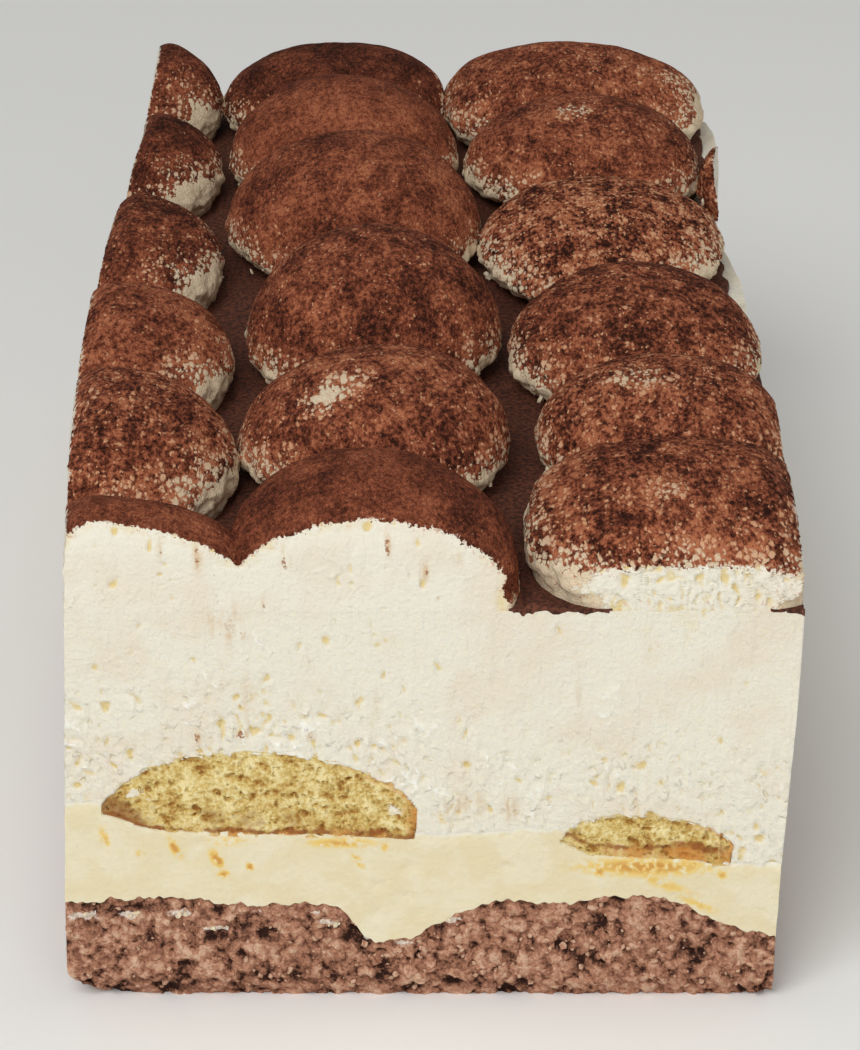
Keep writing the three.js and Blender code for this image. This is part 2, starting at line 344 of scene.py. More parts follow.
@dataclass(frozen=True)
class CutFaces:
    """The four knife cuts, which every layer and dome is flush with.

    Attributes:
        half_length: Half the bar's length.
        half_width: Half its width.
        left_inset: How far the left cut leans in at its top.
        left_foot: How far it is rounded in at its foot.
        left_bow: How far it bows out along the front of the bar.
        bow_length: The length of that bow.
        right_inset: How far the right cut is drawn in at its foot.
        right_bow: How far it bows in behind the middle of the bar.
        right_bow_y: Where it bows in most.
        right_bow_reach: How far that bow reaches along the bar.
        corner: How far its back corner is worn in.
        foot_rounding: How far the lowest edge is rounded.
        foot_height: The height of that rounding.
        crest_from: Where the domes' cuts start to round over.
        crest_to: Where they have rounded over.
        crest_inset: How far they round over.
        shoulder: How near the two long cuts the domes start to slope down.
        shoulder_slope: How steeply they do so at the cut.
    """

    half_length: float = HALF_LENGTH
    half_width: float = 40.5
    left_inset: float = 1.3
    left_foot: float = 1.6
    left_bow: float = 2.5
    bow_length: float = 125.0
    right_inset: float = 1.8
    right_bow: float = 2.2
    right_bow_y: float = 34.0
    right_bow_reach: float = 26.0
    corner: float = 3.5
    foot_rounding: float = 1.6
    foot_height: float = 3.4
    crest_from: float = 53.0
    crest_to: float = 61.0
    crest_inset: float = 1.4
    shoulder: float = 4.0
    shoulder_slope: float = 1.3

    LEAN_TO = 60
    LEFT_FOOT_FROM = 4.5
    LEFT_FOOT_TO = 1.2
    RISE_TO = 50
    CORNER_FROM = 66
    CORNER_TO = 81
    TRIM_STEPS = 14

    def left(self, y: np.ndarray, z: np.ndarray) -> np.ndarray:
        """Where the left cut stands.

        Args:
            y: Place along the bar.
            z: Height.

        Returns:
            Its X at each place.
        """
        bow = self.left_bow * np.sin(np.pi * np.clip((y + self.half_length) / self.bow_length, 0, 1))
        inset = self.left_inset * np.sin(np.pi / 2 * np.clip(z / self.LEAN_TO, 0, 1)) ** 2
        foot = self.left_foot * ramp(z, self.LEFT_FOOT_FROM, self.LEFT_FOOT_TO) ** 2
        return self.left_bow - self.half_width + inset + foot - bow

    def right(self, y: np.ndarray, z: np.ndarray) -> np.ndarray:
        """Where the right cut stands.

        Args:
            y: Place along the bar.
            z: Height.

        Returns:
            Its X at each place.
        """
        rise = np.sin(np.pi / 2 * np.clip(z / self.RISE_TO, 0, 1)) ** 2
        bow = self.right_bow * (1 - ramp(np.abs(y - self.right_bow_y), 0, self.right_bow_reach))
        corner = self.corner * ramp(y, self.CORNER_FROM, self.CORNER_TO) ** 2 * rise**2
        return self.half_width - self.right_inset * (1 - rise) - bow * rise - corner

    def shoulder_drop(self, x: np.ndarray, y: np.ndarray) -> np.ndarray:
        """How far a dome's crest drops towards the two long cuts.

        Args:
            x: Place across the bar.
            y: Place along it.

        Returns:
            The drop at each place.
        """
        level = np.full_like(y, CREAM_TOP)
        left = self.left(y, level) + self.shoulder - x
        right = x - self.right(y, level) + self.shoulder
        past = np.clip(np.maximum(left, right), 0, 2 * self.shoulder)
        return self.shoulder_slope * past**2 / (2 * self.shoulder)

    def rounding(self, z: np.ndarray) -> np.ndarray:
        """How far a cut goes in at the bar's foot and at the domes' crests."""
        foot = self.foot_rounding * (1 - ramp(z, -1, self.foot_height))
        return foot + self.crest_inset * ramp(z, self.crest_from, self.crest_to)

    def place(
        self, across: np.ndarray, along: np.ndarray, z: np.ndarray, depth: np.ndarray
    ) -> np.ndarray:
        """Puts stations of the outline onto the cuts.

        Args:
            across: Place from the left cut, -1, to the right cut, 1.
            along: Place from the front cut, -1, to the back cut, 1.
            z: Height.
            depth: How far the relief goes in.

        Returns:
            The points, one row each.
        """
        inset = depth + self.rounding(z)
        inset_across = np.where(np.abs(across) >= 1, inset, 0)
        inset_along = np.where(np.abs(along) >= 1, inset, 0)
        y = along * (self.half_length - inset_along)
        left = self.left(y, z) + inset_across
        right = self.right(y, z) - inset_across
        x = left + (across + 1) / 2 * (right - left)
        return np.column_stack((x, y, z))

    def past(self, points: np.ndarray, depth: np.ndarray) -> np.ndarray:
        """How far each place stands past the nearest cut, below 0 inside.

        Args:
            points: The places, one row each.
            depth: How far the relief goes in at each.

        Returns:
            The distances.
        """
        x, y, z = points.T
        inset = depth + self.rounding(z)
        reach_y = self.half_length - inset
        left = self.left(y, z) + inset - x
        right = x - self.right(y, z) + inset
        return np.max((left, right, -reach_y - y, y - reach_y), axis=0)

    def trim(
        self, points: np.ndarray, anchor: np.ndarray, depth: np.ndarray
    ) -> tuple[np.ndarray, np.ndarray]:
        """Draws whatever stands past a cut back onto it.

        Args:
            points: The points, one row each.
            anchor: The place inside the bar that they are drawn towards.
            depth: How far the relief goes in at each.

        Returns:
            The drawn points, and how far each stood past the cut, which is
            below 0 inside the bar.
        """
        outside = self.past(points, depth)
        rays = points - anchor
        low = np.zeros(len(points))
        high = np.ones(len(points))
        for _ in range(self.TRIM_STEPS):
            middle = (low + high) / 2
            out = self.past(anchor + middle[:, None] * rays, depth) > 0
            high = np.where(out, middle, high)
            low = np.where(out, low, middle)
        share = np.where(outside > 0, low, 1)
        drawn = anchor + share[:, None] * rays
        return drawn, np.where(outside > 0, (1 - share) * np.linalg.norm(rays, axis=1), outside)


@dataclass(frozen=True)
class LayerSurfaces:
    """The wavy surfaces on which the layers lie on each other.

    Attributes:
        sponge_height: Height of the chocolate sponge.
        dip_x: Where the sponge dips along the bar.
        dip_depth: The depth of that dip.
        dip_left: How far it reaches to the left.
        dip_right: How far it reaches to the right.
        sponge_drop: How far the sponge falls at the right.
        custard_height: Height of the custard's top.
        custard_lift: How far the custard rises at the left.
        custard_drop: How far it falls at the right.
        edge_lift: How far the underside lifts at the left edge.
    """

    sponge_height: float = 12.2
    dip_x: float = -4.0
    dip_depth: float = 4.2
    dip_left: float = 5.0
    dip_right: float = 14.0
    sponge_drop: float = 4.4
    custard_height: float = 20.4
    custard_lift: float = 3.8
    custard_drop: float = 3.8
    edge_lift: float = 1.5

    def base(self, x: np.ndarray, y: np.ndarray) -> np.ndarray:
        """The bar's underside, which lifts a little at its two long edges."""
        lift = ramp(x, -31, -38.5) ** 2 + 0.5 * ramp(x, 34, 40) ** 2
        return self.edge_lift * lift

    def sponge_top(self, x: np.ndarray, y: np.ndarray) -> np.ndarray:
        """Top of the chocolate sponge, with the crumb's unevenness.

        Args:
            x: Place across the bar.
            y: Place along it.

        Returns:
            Its height at each place.
        """
        offset = x - self.dip_x - 1.5 * np.sin(y / 23 + 3.5)
        reach = np.where(offset < 0, self.dip_left, self.dip_right)
        dip = self.dip_depth * (1 - ramp(np.abs(offset) / reach, 0, 1))
        wave = 0.5 * np.sin(y / 11 + x / 9) + 0.3 * np.sin(x / 2.7 + y / 6)
        spots = np.column_stack((x, y, np.zeros_like(x)))
        crumb = 0.42 * GRAIN.waves(spots, 1.6) + 0.3 * GRAIN.waves(spots, 0.7)
        return self.sponge_height - dip - self.sponge_drop * ramp(x, 25, 41) + wave + crumb

    def custard_top(self, x: np.ndarray, y: np.ndarray) -> np.ndarray:
        """Top of the custard.

        Args:
            x: Place across the bar.
            y: Place along it.

        Returns:
            Its height at each place.
        """
        rise = self.custard_lift * ramp(x, -21, -36)
        fall = self.custard_drop * ramp(x, 15, 34)
        wave = 0.5 * np.sin(y / 13 + 1.2) + 0.3 * np.sin(x / 5 - y / 17)
        spots = np.column_stack((x, y, np.full_like(x, 9.0)))
        smear = 0.35 * GRAIN.waves(spots, 4.0) + 0.15 * GRAIN.waves(spots, 1.3)
        return self.custard_height + rise - fall + wave + smear

    def cream_top(self, x: np.ndarray, y: np.ndarray) -> np.ndarray:
        """Top of the cream layer, uneven where it shows at the cuts.

        Args:
            x: Place across the bar.
            y: Place along it.

        Returns:
            Its height at each place.
        """
        spots = np.column_stack((x, y, np.full_like(x, 31.0)))
        uneven = 0.3 * GRAIN.waves(spots, 2.6) + 0.2 * GRAIN.waves(spots, 1.0)
        return CREAM_TOP - 0.2 + uneven


CUTS = CutFaces()
SURFACES = LayerSurfaces()


# ---- Materials -------------------------------------------------------------


class Graph:
    """One material's node tree, with a short call for each kind of node."""

    SCATTER = (1.0, 0.8, 0.5)
    SCATTER_DEPTH = 0.35

    def __init__(self, name: str) -> None:
        """Starts an empty tree that ends in a Principled shader.

        Args:
            name: The material's name.
        """
        self.material = bpy.data.materials.new(name)
        self.material.use_nodes = True
        self.nodes = self.material.node_tree.nodes
        self.links = self.material.node_tree.links
        self.nodes.clear()
        self.shader = self.nodes.new("ShaderNodeBsdfPrincipled")
        output = self.nodes.new("ShaderNodeOutputMaterial")
        self.links.new(self.shader.outputs["BSDF"], output.inputs["Surface"])
        self.place = self.nodes.new("ShaderNodeTexCoord").outputs["Object"]

    def put(self, value: object, socket: Socket) -> None:
        """Links an output into a socket, or sets the socket to a value.

        Args:
            value: A socket, a number or a colour.
            socket: Where it goes.
        """
        if isinstance(value, Socket):
            self.links.new(value, socket)
        elif isinstance(value, tuple) and len(value) == 3 and socket.type == "RGBA":
            socket.default_value = (*value, 1.0)
        else:
            socket.default_value = value

    def math(self, operation: str, first: object, second: object = 0.0) -> Socket:
        """One sum of two values.

        Args:
            operation: The Math node's operation.
            first: A socket or a number.
            second: A socket or a number.

        Returns:
            The result.
        """
        node = self.nodes.new("ShaderNodeMath")
        node.operation = operation
        self.put(first, node.inputs[0])
        self.put(second, node.inputs[1])
        return node.outputs[0]

    def times(self, first: object, second: object) -> Socket:
        """The product of two values."""
        return self.math("MULTIPLY", first, second)

    def add(self, *values: object) -> Socket:
        """The sum of several values.

        Args:
            values: Sockets or numbers.

        Returns:
            Their sum.
        """
        total = values[0]
        for value in values[1:]:
            total = self.math("ADD", total, value)
        return total

    def scaled(self, value: object, factor: float, middle: float = 0.0) -> Socket:
        """A value less its middle, times a factor."""
        return self.times(self.math("SUBTRACT", value, middle), factor)

    def step(self, value: object, start: float, end: float) -> Socket:
        """Smooth step of a value from 0 at start to 1 at end.

        Args:
            value: A socket or a number.
            start: Where it is still 0; may be above end.
            end: Where it has reached 1.

        Returns:
            The step, from 0 to 1.
        """
        node = self.nodes.new("ShaderNodeMapRange")
        node.interpolation_type = "SMOOTHSTEP"
        falling = start > end
        self.put(value, node.inputs["Value"])
        node.inputs["From Min"].default_value = min(start, end)
        node.inputs["From Max"].default_value = max(start, end)
        node.inputs["To Min"].default_value = 1.0 if falling else 0.0
        node.inputs["To Max"].default_value = 0.0 if falling else 1.0
        return node.outputs["Result"]

    def stretched(self, x: float, y: float, z: float) -> Socket:
        """Object coordinates scaled along each axis.

        Args:
            x: Scale along X.
            y: Scale along Y.
            z: Scale along Z.

        Returns:
            The coordinates.
        """
        node = self.nodes.new("ShaderNodeMapping")
        self.links.new(self.place, node.inputs["Vector"])
        node.inputs["Scale"].default_value = (x, y, z)
        return node.outputs["Vector"]

    def warped(self, size: float, amount: float) -> Socket:
        """Object coordinates that wander, so that clumps lose their round shape.

        Args:
            size: The size of the wanderings, in millimetres.
            amount: How far they go, in millimetres.

        Returns:
            The coordinates.
        """
        node = self.nodes.new("ShaderNodeTexNoise")
        self.links.new(self.place, node.inputs["Vector"])
        node.inputs["Scale"].default_value = 1 / (size * MM)
        middle = self.nodes.new("ShaderNodeVectorMath")
        middle.operation = "SUBTRACT"
        self.links.new(node.outputs["Color"], middle.inputs[0])
        middle.inputs[1].default_value = (0.5, 0.5, 0.5)
        wander = self.nodes.new("ShaderNodeVectorMath")
        wander.operation = "SCALE"
        self.links.new(middle.outputs["Vector"], wander.inputs[0])
        wander.inputs["Scale"].default_value = 2 * amount * MM
        total = self.nodes.new("ShaderNodeVectorMath")
        self.links.new(self.place, total.inputs[0])
        self.links.new(wander.outputs["Vector"], total.inputs[1])
        return total.outputs["Vector"]

    def noise(
        self, size: float, detail: float = 2.0, rough: float = 0.5, place: object = None
    ) -> Socket:
        """Soft noise.

        Args:
            size: The size of its hills, in millimetres.
            detail: How many finer octaves it has.
            rough: How strong they are.
            place: Coordinates, where these aren't the object's own.

        Returns:
            The noise, from 0 to 1 and mostly near 0.5.
        """
        node = self.nodes.new("ShaderNodeTexNoise")
        self.links.new(place or self.place, node.inputs["Vector"])
        node.inputs["Scale"].default_value = 1 / (size * MM)
        node.inputs["Detail"].default_value = detail
        node.inputs["Roughness"].default_value = rough
        return node.outputs["Fac"]

    def clumps(self, size: float, place: object = None) -> tuple[Socket, Socket]:
        """Voronoi clumps.

        Args:
            size: Their spacing, in millimetres.
            place: Coordinates, where these aren't the object's own.

        Returns:
            The distance from the middle of a clump, and a random number for it.
        """
        node = self.nodes.new("ShaderNodeTexVoronoi")
        self.links.new(place or self.place, node.inputs["Vector"])
        node.inputs["Scale"].default_value = 1 / (size * MM)
        split = self.nodes.new("ShaderNodeSeparateColor")
        self.links.new(node.outputs["Color"], split.inputs["Color"])
        return node.outputs["Distance"], split.outputs["Red"]

    def attribute(self, name: str) -> Socket:
        """A number kept on the mesh's vertices.

        Args:
            name: The attribute's name.

        Returns:
            The number.
        """
        node = self.nodes.new("ShaderNodeAttribute")
        node.attribute_name = name
        return node.outputs["Fac"]

    def mix(self, share: object, first: object, second: object) -> Socket:
        """A colour between two colours.

        Args:
            share: 0 for the first colour, 1 for the second.
            first: A colour or a socket.
            second: A colour or a socket.

        Returns:
            The mixed colour.
        """
        node = self.nodes.new("ShaderNodeMix")
        node.data_type = "RGBA"
        self.put(share, node.inputs["Factor"])
        self.put(first, node.inputs[6])
        self.put(second, node.inputs[7])
        return node.outputs[2]

    def blend(self, share: object, first: object, second: object) -> Socket:
        """A number between two numbers.

        Args:
            share: 0 for the first number, 1 for the second.
            first: A number or a socket.
            second: A number or a socket.

        Returns:
            The number.
        """
        node = self.nodes.new("ShaderNodeMix")
        self.put(share, node.inputs[0])
        self.put(first, node.inputs[2])
        self.put(second, node.inputs[3])
        return node.outputs[0]

    def colours(self, value: object, stops: Sequence[tuple[float, Colour]]) -> Socket:
        """Reads a colour ramp.

        Args:
            value: Where to read it.
            stops: Its places and colours, in order.

        Returns:
            The colour.
        """
        node = self.nodes.new("ShaderNodeValToRGB")
        elements = node.color_ramp.elements
        for place, _ in stops[2:]:
            elements.new(place)
        for element, (place, colour) in zip(elements, stops):
            element.position = place
            element.color = (*colour, 1.0)
        self.put(value, node.inputs["Fac"])
        return node.outputs["Color"]

    def finish(
        self, colour: object, roughness: object, height: object, relief: float,
        soft: float = 0.0, gloss: object = 0.3,
    ) -> Material:
        """Wires the shader up.

        Args:
            colour: The base colour.
            roughness: The roughness.
            height: The bump's height, from 0 to 1.
            relief: What a height of 1 stands for, in millimetres.
            soft: How much light scatters under the surface.
            gloss: How strongly it mirrors.

        Returns:
            The material.
        """
        bump = self.nodes.new("ShaderNodeBump")
        bump.inputs["Distance"].default_value = relief * MM
        bump.inputs["Strength"].default_value = 1.0
        self.put(height, bump.inputs["Height"])
        self.links.new(bump.outputs["Normal"], self.shader.inputs["Normal"])
        self.put(colour, self.shader.inputs["Base Color"])
        self.put(roughness, self.shader.inputs["Roughness"])
        self.put(gloss, self.shader.inputs["Specular IOR Level"])
        if soft:
            self.shader.inputs["Subsurface Weight"].default_value = soft
            self.shader.inputs["Subsurface Radius"].default_value = self.SCATTER
            self.shader.inputs["Subsurface Scale"].default_value = self.SCATTER_DEPTH * MM
        return self.material


@dataclass(frozen=True)
class CreamFinish:
    """Whipped mascarpone cream as a knife leaves it.

    Attributes:
        cream: Its main colour.
        proud: Painted highlight, its colour on ridges and flakes.
        shade: Painted shade, its colour in pits and deep hollows.
        butter: The yellow in a few deep pits.
        warm: Its warmer colour where it is thin.
        stain: What the knife dragged down from the cocoa.
        dark: The darkest bits of that.
    """

    cream: Colour = srgb(234, 229, 212)
    proud: Colour = srgb(246, 244, 234)
    shade: Colour = srgb(226, 206, 152)
    butter: Colour = srgb(222, 196, 128)
    warm: Colour = srgb(231, 219, 198)
    stain: Colour = srgb(206, 172, 126)
    dark: Colour = srgb(150, 92, 48)

    ROUGHNESS = 0.55

    def surface(self, graph: Graph) -> tuple[object, object, object]:
        """Adds the cut cream's nodes to a tree.

        Args:
            graph: The tree.

        Returns:
            Its colour, roughness and height.
        """
        soft = graph.noise(6.0, 3.0)
        fine = graph.noise(0.5, 4.0, 0.65)
        bent = graph.warped(1.2, 0.8)
        drag = graph.noise(1.1, 3.0, 0.6, graph.stretched(1.3, 1.3, 0.16))
        distance, chance = graph.clumps(1.15, bent)
        torn = graph.add(graph.attribute("torn"), 0.15)
        pit = graph.times(graph.step(distance, 0.4, 0.1), graph.step(chance, 0.22, 0.14))
        pit = graph.times(pit, torn)
        bump = graph.times(graph.step(distance, 0.5, 0.1), graph.step(chance, 0.72, 0.8))
        bump = graph.times(bump, torn)
        hollow = graph.attribute("hollow")
        colour = graph.mix(graph.scaled(graph.step(soft, 0.42, 0.7), 0.7), self.cream, self.warm)
        # Ridges and flakes, where the relief is shallow, get a whiter colour: a painted highlight.
        colour = graph.mix(graph.step(hollow, 0.26, 0.1), colour, self.proud)
        # Deep relief and pits get a warm darker colour: painted shade in the hollows.
        colour = graph.mix(graph.step(hollow, 0.42, 0.62), colour, self.shade)
        colour = graph.mix(graph.scaled(pit, 0.3), colour, self.shade)
        butter = graph.times(graph.step(hollow, 0.52, 0.68), graph.step(soft, 0.46, 0.54))
        colour = graph.mix(graph.scaled(butter, 0.6), colour, self.butter)
        stain = graph.attribute("stain")
        smear = graph.times(stain, graph.step(drag, 0.4, 0.66))
        colour = graph.mix(graph.scaled(smear, 0.8), colour, self.stain)
        grain = graph.times(stain, graph.step(graph.noise(0.6, 3.0, 0.6), 0.4, 0.62))
        colour = graph.mix(graph.scaled(graph.step(grain, 0.55, 1.0), 0.85), colour, self.dark)
        height = graph.add(
            graph.scaled(fine, 0.8),
            graph.scaled(drag, 0.5),
            graph.scaled(pit, -0.45),
            graph.scaled(bump, 0.5),
        )
        return colour, self.ROUGHNESS, height

    def material(self) -> Material:
        """The cream layer's material.

        Returns:
            The material.
        """
        graph = Graph("cut cream")
        colour, roughness, height = self.surface(graph)
        return graph.finish(colour, roughness, height, 0.3, soft=0.3)


@dataclass(frozen=True)
class CustardFinish:
    """Smooth pale custard with streaks of yolk and coffee.

    Attributes:
        custard: Its main colour.
        pale: Where cream is streaked in.
        yolk: Its deeper yellow streaks.
        coffee: The orange-brown drips under the biscuits.
        cream: The cream that lies over it.
    """

    custard: Colour = srgb(225, 213, 177)
    pale: Colour = srgb(229, 220, 191)
    yolk: Colour = srgb(230, 200, 118)
    coffee: Colour = srgb(204, 146, 70)
    cream: Colour = srgb(233, 228, 211)

    def material(self) -> Material:
        """The custard layer's material.

        Returns:
            The material.
        """
        graph = Graph("custard")
        streaks = graph.noise(4.0, 3.0, 0.5, graph.warped(5.0, 4.0))
        fine = graph.noise(0.7, 3.0)
        drip = graph.attribute("stain")
        colour = graph.mix(graph.step(streaks, 0.38, 0.66), self.custard, self.pale)
        under = graph.add(graph.attribute("share"), graph.scaled(graph.noise(1.6, 3.0), 0.5, 0.5))
        colour = graph.mix(graph.step(under, 0.72, 1.0), colour, self.cream)
        worn = graph.times(drip, graph.step(graph.noise(0.8, 3.0), 0.28, 0.56))
        colour = graph.mix(graph.step(worn, 0.05, 0.6), colour, self.yolk)
        colour = graph.mix(graph.scaled(graph.step(worn, 0.45, 1.05), 0.9), colour, self.coffee)
        return graph.finish(colour, 0.45, fine, 0.16, soft=0.3)


@dataclass(frozen=True)
class SpongeFinish:
    """Torn crumb of a chocolate sponge.

    Attributes:
        pit: Painted shade, its colour in holes and crevices.
        crumb: Its main colour.
        light: Its lighter crumbs, from random tone and a painted highlight on proud crumbs.
        tan: A few pale crumbs, partly a painted highlight on proud crumbs.
        cream: Smears of cream along its top.
    """

    pit: Colour = srgb(56, 30, 22)
    crumb: Colour = srgb(158, 108, 84)
    light: Colour = srgb(196, 142, 114)
    tan: Colour = srgb(228, 188, 158)
    cream: Colour = srgb(244, 230, 216)

    def material(self, name: str = "chocolate sponge") -> Material:
        """The sponge's material.

        Args:
            name: The material's name.

        Returns:
            The material.
        """
        graph = Graph(name)
        bent = graph.warped(0.9, 0.5)
        distance, chance = graph.clumps(0.95, bent)
        near, pick = graph.clumps(0.45, bent)
        fine = graph.noise(0.3, 4.0, 0.65)
        patch = graph.noise(4.0, 3.0)
        # Tone falls with relief depth and towards clump edges, which is painted shade in holes and
        # crevices, so proud crumbs come out lighter as a painted highlight; the rest is random tone.
        tone = graph.add(
            graph.scaled(chance, 0.42),
            graph.scaled(pick, 0.2),
            graph.scaled(fine, 1.0, 0.5),
            graph.scaled(patch, 1.0, 0.5),
            graph.scaled(graph.attribute("hollow"), -1.0, 0.36),
            graph.scaled(graph.step(distance, 0.5, 0.85), -0.25),
            0.36,
        )
        colour = graph.colours(
            tone,
            ((0.0, self.pit), (0.34, self.crumb), (0.62, self.light), (0.98, self.tan)),
        )
        smear = graph.add(
            graph.attribute("stain"),
            graph.scaled(graph.noise(0.9, 3.0, 0.6), 1.8, 0.5),
            graph.scaled(fine, 0.8, 0.5),
        )
        colour = graph.mix(graph.scaled(graph.step(smear, 0.5, 0.8), 0.95), colour, self.cream)
        height = graph.add(
            graph.scaled(fine, 0.6), graph.scaled(distance, -0.8), graph.scaled(near, -0.35)
        )
        return graph.finish(colour, 0.85, height, 0.55, gloss=0.2)


@dataclass(frozen=True)
class BiscuitFinish:
    """Soaked ladyfinger crumb over its baked base.

    Attributes:
        crumb: The yellow-ochre crumb.
        pale: Its lightest tone, on the walls between the holes.
        pit: Painted shade in the holes.
        soaked: The orange crumb near its base and ends.
        burnt: The lines of baked crust.
        coffee: Crumb that drew coffee.
        cream: Smears of cream.
    """

    crumb: Colour = srgb(214, 184, 108)
    pale: Colour = srgb(246, 230, 172)
    pit: Colour = srgb(164, 114, 50)
    soaked: Colour = srgb(208, 136, 62)
    burnt: Colour = srgb(146, 84, 38)
    coffee: Colour = srgb(148, 96, 54)
    cream: Colour = srgb(238, 230, 210)

    def material(self) -> Material:
        """The biscuits' material.

        Returns:
            The material.
        """
        graph = Graph("ladyfinger")
        fine = graph.noise(0.35, 4.0, 0.65)
        patch = graph.noise(2.4, 3.0)
        speck = graph.noise(0.8, 3.0, 0.6)
        bent = graph.warped(0.9, 0.6)
        distance, chance = graph.clumps(0.75, bent)
        pore = graph.times(graph.step(distance, 0.45, 0.15), graph.step(chance, 0.4, 0.3))
        # Tone falls with the depth of the holes and in the pores, which is painted shade; the rest is
        # random tone.
        tone = graph.add(
            graph.scaled(fine, 1.7, 0.5),
            graph.scaled(speck, 1.2, 0.5),
            graph.scaled(patch, 1.1, 0.5),
            graph.scaled(graph.attribute("hollow"), -1.0, 0.2),
            graph.scaled(pore, -0.3),
            0.6,
        )
        colour = graph.colours(tone, ((0.05, self.pit), (0.5, self.crumb), (0.95, self.pale)))
        rough = graph.add(graph.scaled(speck, 1.6, 0.5), graph.scaled(fine, 0.8, 0.5))
        coffee = graph.add(graph.attribute("stain"), rough)
        colour = graph.mix(graph.scaled(graph.step(coffee, 0.25, 0.95), 0.75), colour, self.coffee)
        soaked = graph.add(graph.attribute("wet"), rough)
        colour = graph.mix(graph.scaled(graph.step(soaked, 0.15, 0.85), 0.8), colour, self.soaked)
        baked = graph.add(graph.attribute("baked"), rough)
        colour = graph.mix(graph.scaled(graph.step(baked, 0.3, 0.95), 0.85), colour, self.burnt)
        smear = graph.add(graph.attribute("smear"), graph.scaled(rough, 0.9))
        colour = graph.mix(graph.step(smear, 0.5, 0.8), colour, self.cream)
        height = graph.add(graph.scaled(fine, 0.8), graph.scaled(pore, -0.6))
        return graph.finish(colour, 0.75, height, 0.35, gloss=0.2)


@dataclass(frozen=True)
class CocoaFinish:
    """Cream dusted with dry cocoa powder, which is thin on its flanks.

    The mesh says how thick the powder lies, how much cream shows through it in
    specks, how much darker it lies, from water drawn and from painted shade, and
    how far each place is past a knife cut, where it is bare cream.

    Attributes:
        cream: Bare cream.
        tan: Cream that shows through a thin dusting.
        powder: The powder's tones, from its darkest to its lightest.
    """

    cream: Colour = srgb(232, 219, 188)
    tan: Colour = srgb(220, 164, 124)
    powder: tuple[Colour, Colour, Colour, Colour] = (
        srgb(50, 25, 18),
        srgb(100, 52, 36),
        srgb(142, 78, 54),
        srgb(184, 114, 80),
    )

    def specks(
        self, graph: Graph, size: float, veil: object, cover: object, place: object
    ) -> object:
        """Adds specks of cream that grow and close up where the powder is thin.

        Args:
            graph: The tree.
            size: The spacing of the specks.
            veil: The share of the cream that the powder hides.
            cover: How thick the powder lies.
            place: The coordinates.

        Returns:
            1 on a speck and 0 between them.
        """
        distance, chance = graph.clumps(size, place)
        excess = graph.math("SUBTRACT", chance, veil)
        thin = graph.step(cover, 0.95, 0.35)
        growth = graph.math("MINIMUM", graph.times(excess, graph.add(0.3, thin)), 0.22)
        closed = graph.scaled(graph.step(cover, 0.3, 0.0), 0.6)
        reach = graph.add(0.2, growth, closed)
        inside = graph.step(graph.math("SUBTRACT", reach, distance), -0.12, 0.12)
        strength = graph.add(graph.step(excess, 0.0, 0.3), graph.times(thin, 0.5))
        shown = graph.times(inside, graph.step(excess, 0.0, 0.05))
        return graph.times(shown, graph.math("MINIMUM", graph.add(strength, 0.35), 1.0))

    def material(self) -> Material:
        """The domes' material.

        Returns:
            The material.
        """
        graph = Graph("cocoa dusted cream")
        plain = graph.place
        graph.place = graph.stretched(1.0, 0.6, 1.0)
        grain = graph.noise(0.22, 3.0, 0.65)
        speck = graph.noise(0.5, 3.0, 0.6)
        patch = graph.noise(2.2, 4.0, 0.6)
        broad = graph.noise(7.0, 2.0)
        bent = graph.warped(0.5, 0.32)
        cover = graph.attribute("cover")
        speckle = graph.attribute("speckle")

        mottle = graph.add(graph.scaled(speck, 1.5, 0.5), graph.scaled(patch, 1.1, 0.5))
        tone = graph.add(
            0.6,
            graph.times(mottle, graph.add(graph.scaled(speckle, 1.8), 0.5)),
            graph.scaled(broad, 0.7, 0.5),
            graph.scaled(grain, 1.1, 0.5),
            # wet darkens the powder: partly water it has drawn, partly painted shade on domes that lie in
            # shadow.
            graph.scaled(graph.attribute("wet"), -0.55),
            graph.scaled(graph.step(cover, 0.95, 0.5), 0.12),
        )
        colour = graph.colours(tone, tuple(zip((0.1, 0.4, 0.64, 0.98), self.powder)))

        shown = graph.add(0.62, graph.scaled(patch, 4.2, 0.5), graph.scaled(speck, 1.6, 0.5))
        full = graph.math("SUBTRACT", 1.05, graph.times(speckle, shown))
        veil = graph.add(graph.times(cover, full), graph.scaled(speck, 0.7, 0.5), -0.04)
        small = self.specks(graph, 0.45, veil, cover, bent)
        large = self.specks(graph, 0.8, graph.add(veil, 0.06), cover, bent)
        bare = graph.math("MAXIMUM", small, large)
        pale = graph.mix(graph.step(cover, 0.85, 0.3), self.tan, self.cream)
        pale = graph.mix(graph.scaled(graph.step(grain, 0.58, 0.36), 0.45), pale, self.tan)
        colour = graph.mix(graph.scaled(bare, 0.93), colour, pale)

        graph.place = plain
        inside, inside_roughness, inside_height = CreamFinish().surface(graph)
        past = graph.attribute("past")
        ragged = graph.add(past, graph.scaled(speck, 2.4, 0.5), graph.scaled(patch, 1.2, 0.5))
        face = graph.step(ragged, -0.02, 0.12)
        drop = graph.times(graph.step(past, 1.4, 0.0), graph.step(speck, 0.58, 0.66))
        inside = graph.mix(graph.scaled(drop, 0.6), inside, self.powder[3])
        colour = graph.mix(face, colour, inside)
        dusty = graph.add(
            graph.scaled(grain, 0.8), graph.scaled(speck, 0.6), graph.scaled(bare, 0.2)
        )
        height = graph.blend(face, dusty, inside_height)
        roughness = graph.blend(face, 0.95, inside_roughness)
        gloss = graph.blend(face, 0.08, 0.3)
        return graph.finish(colour, roughness, height, 0.26, gloss=gloss)


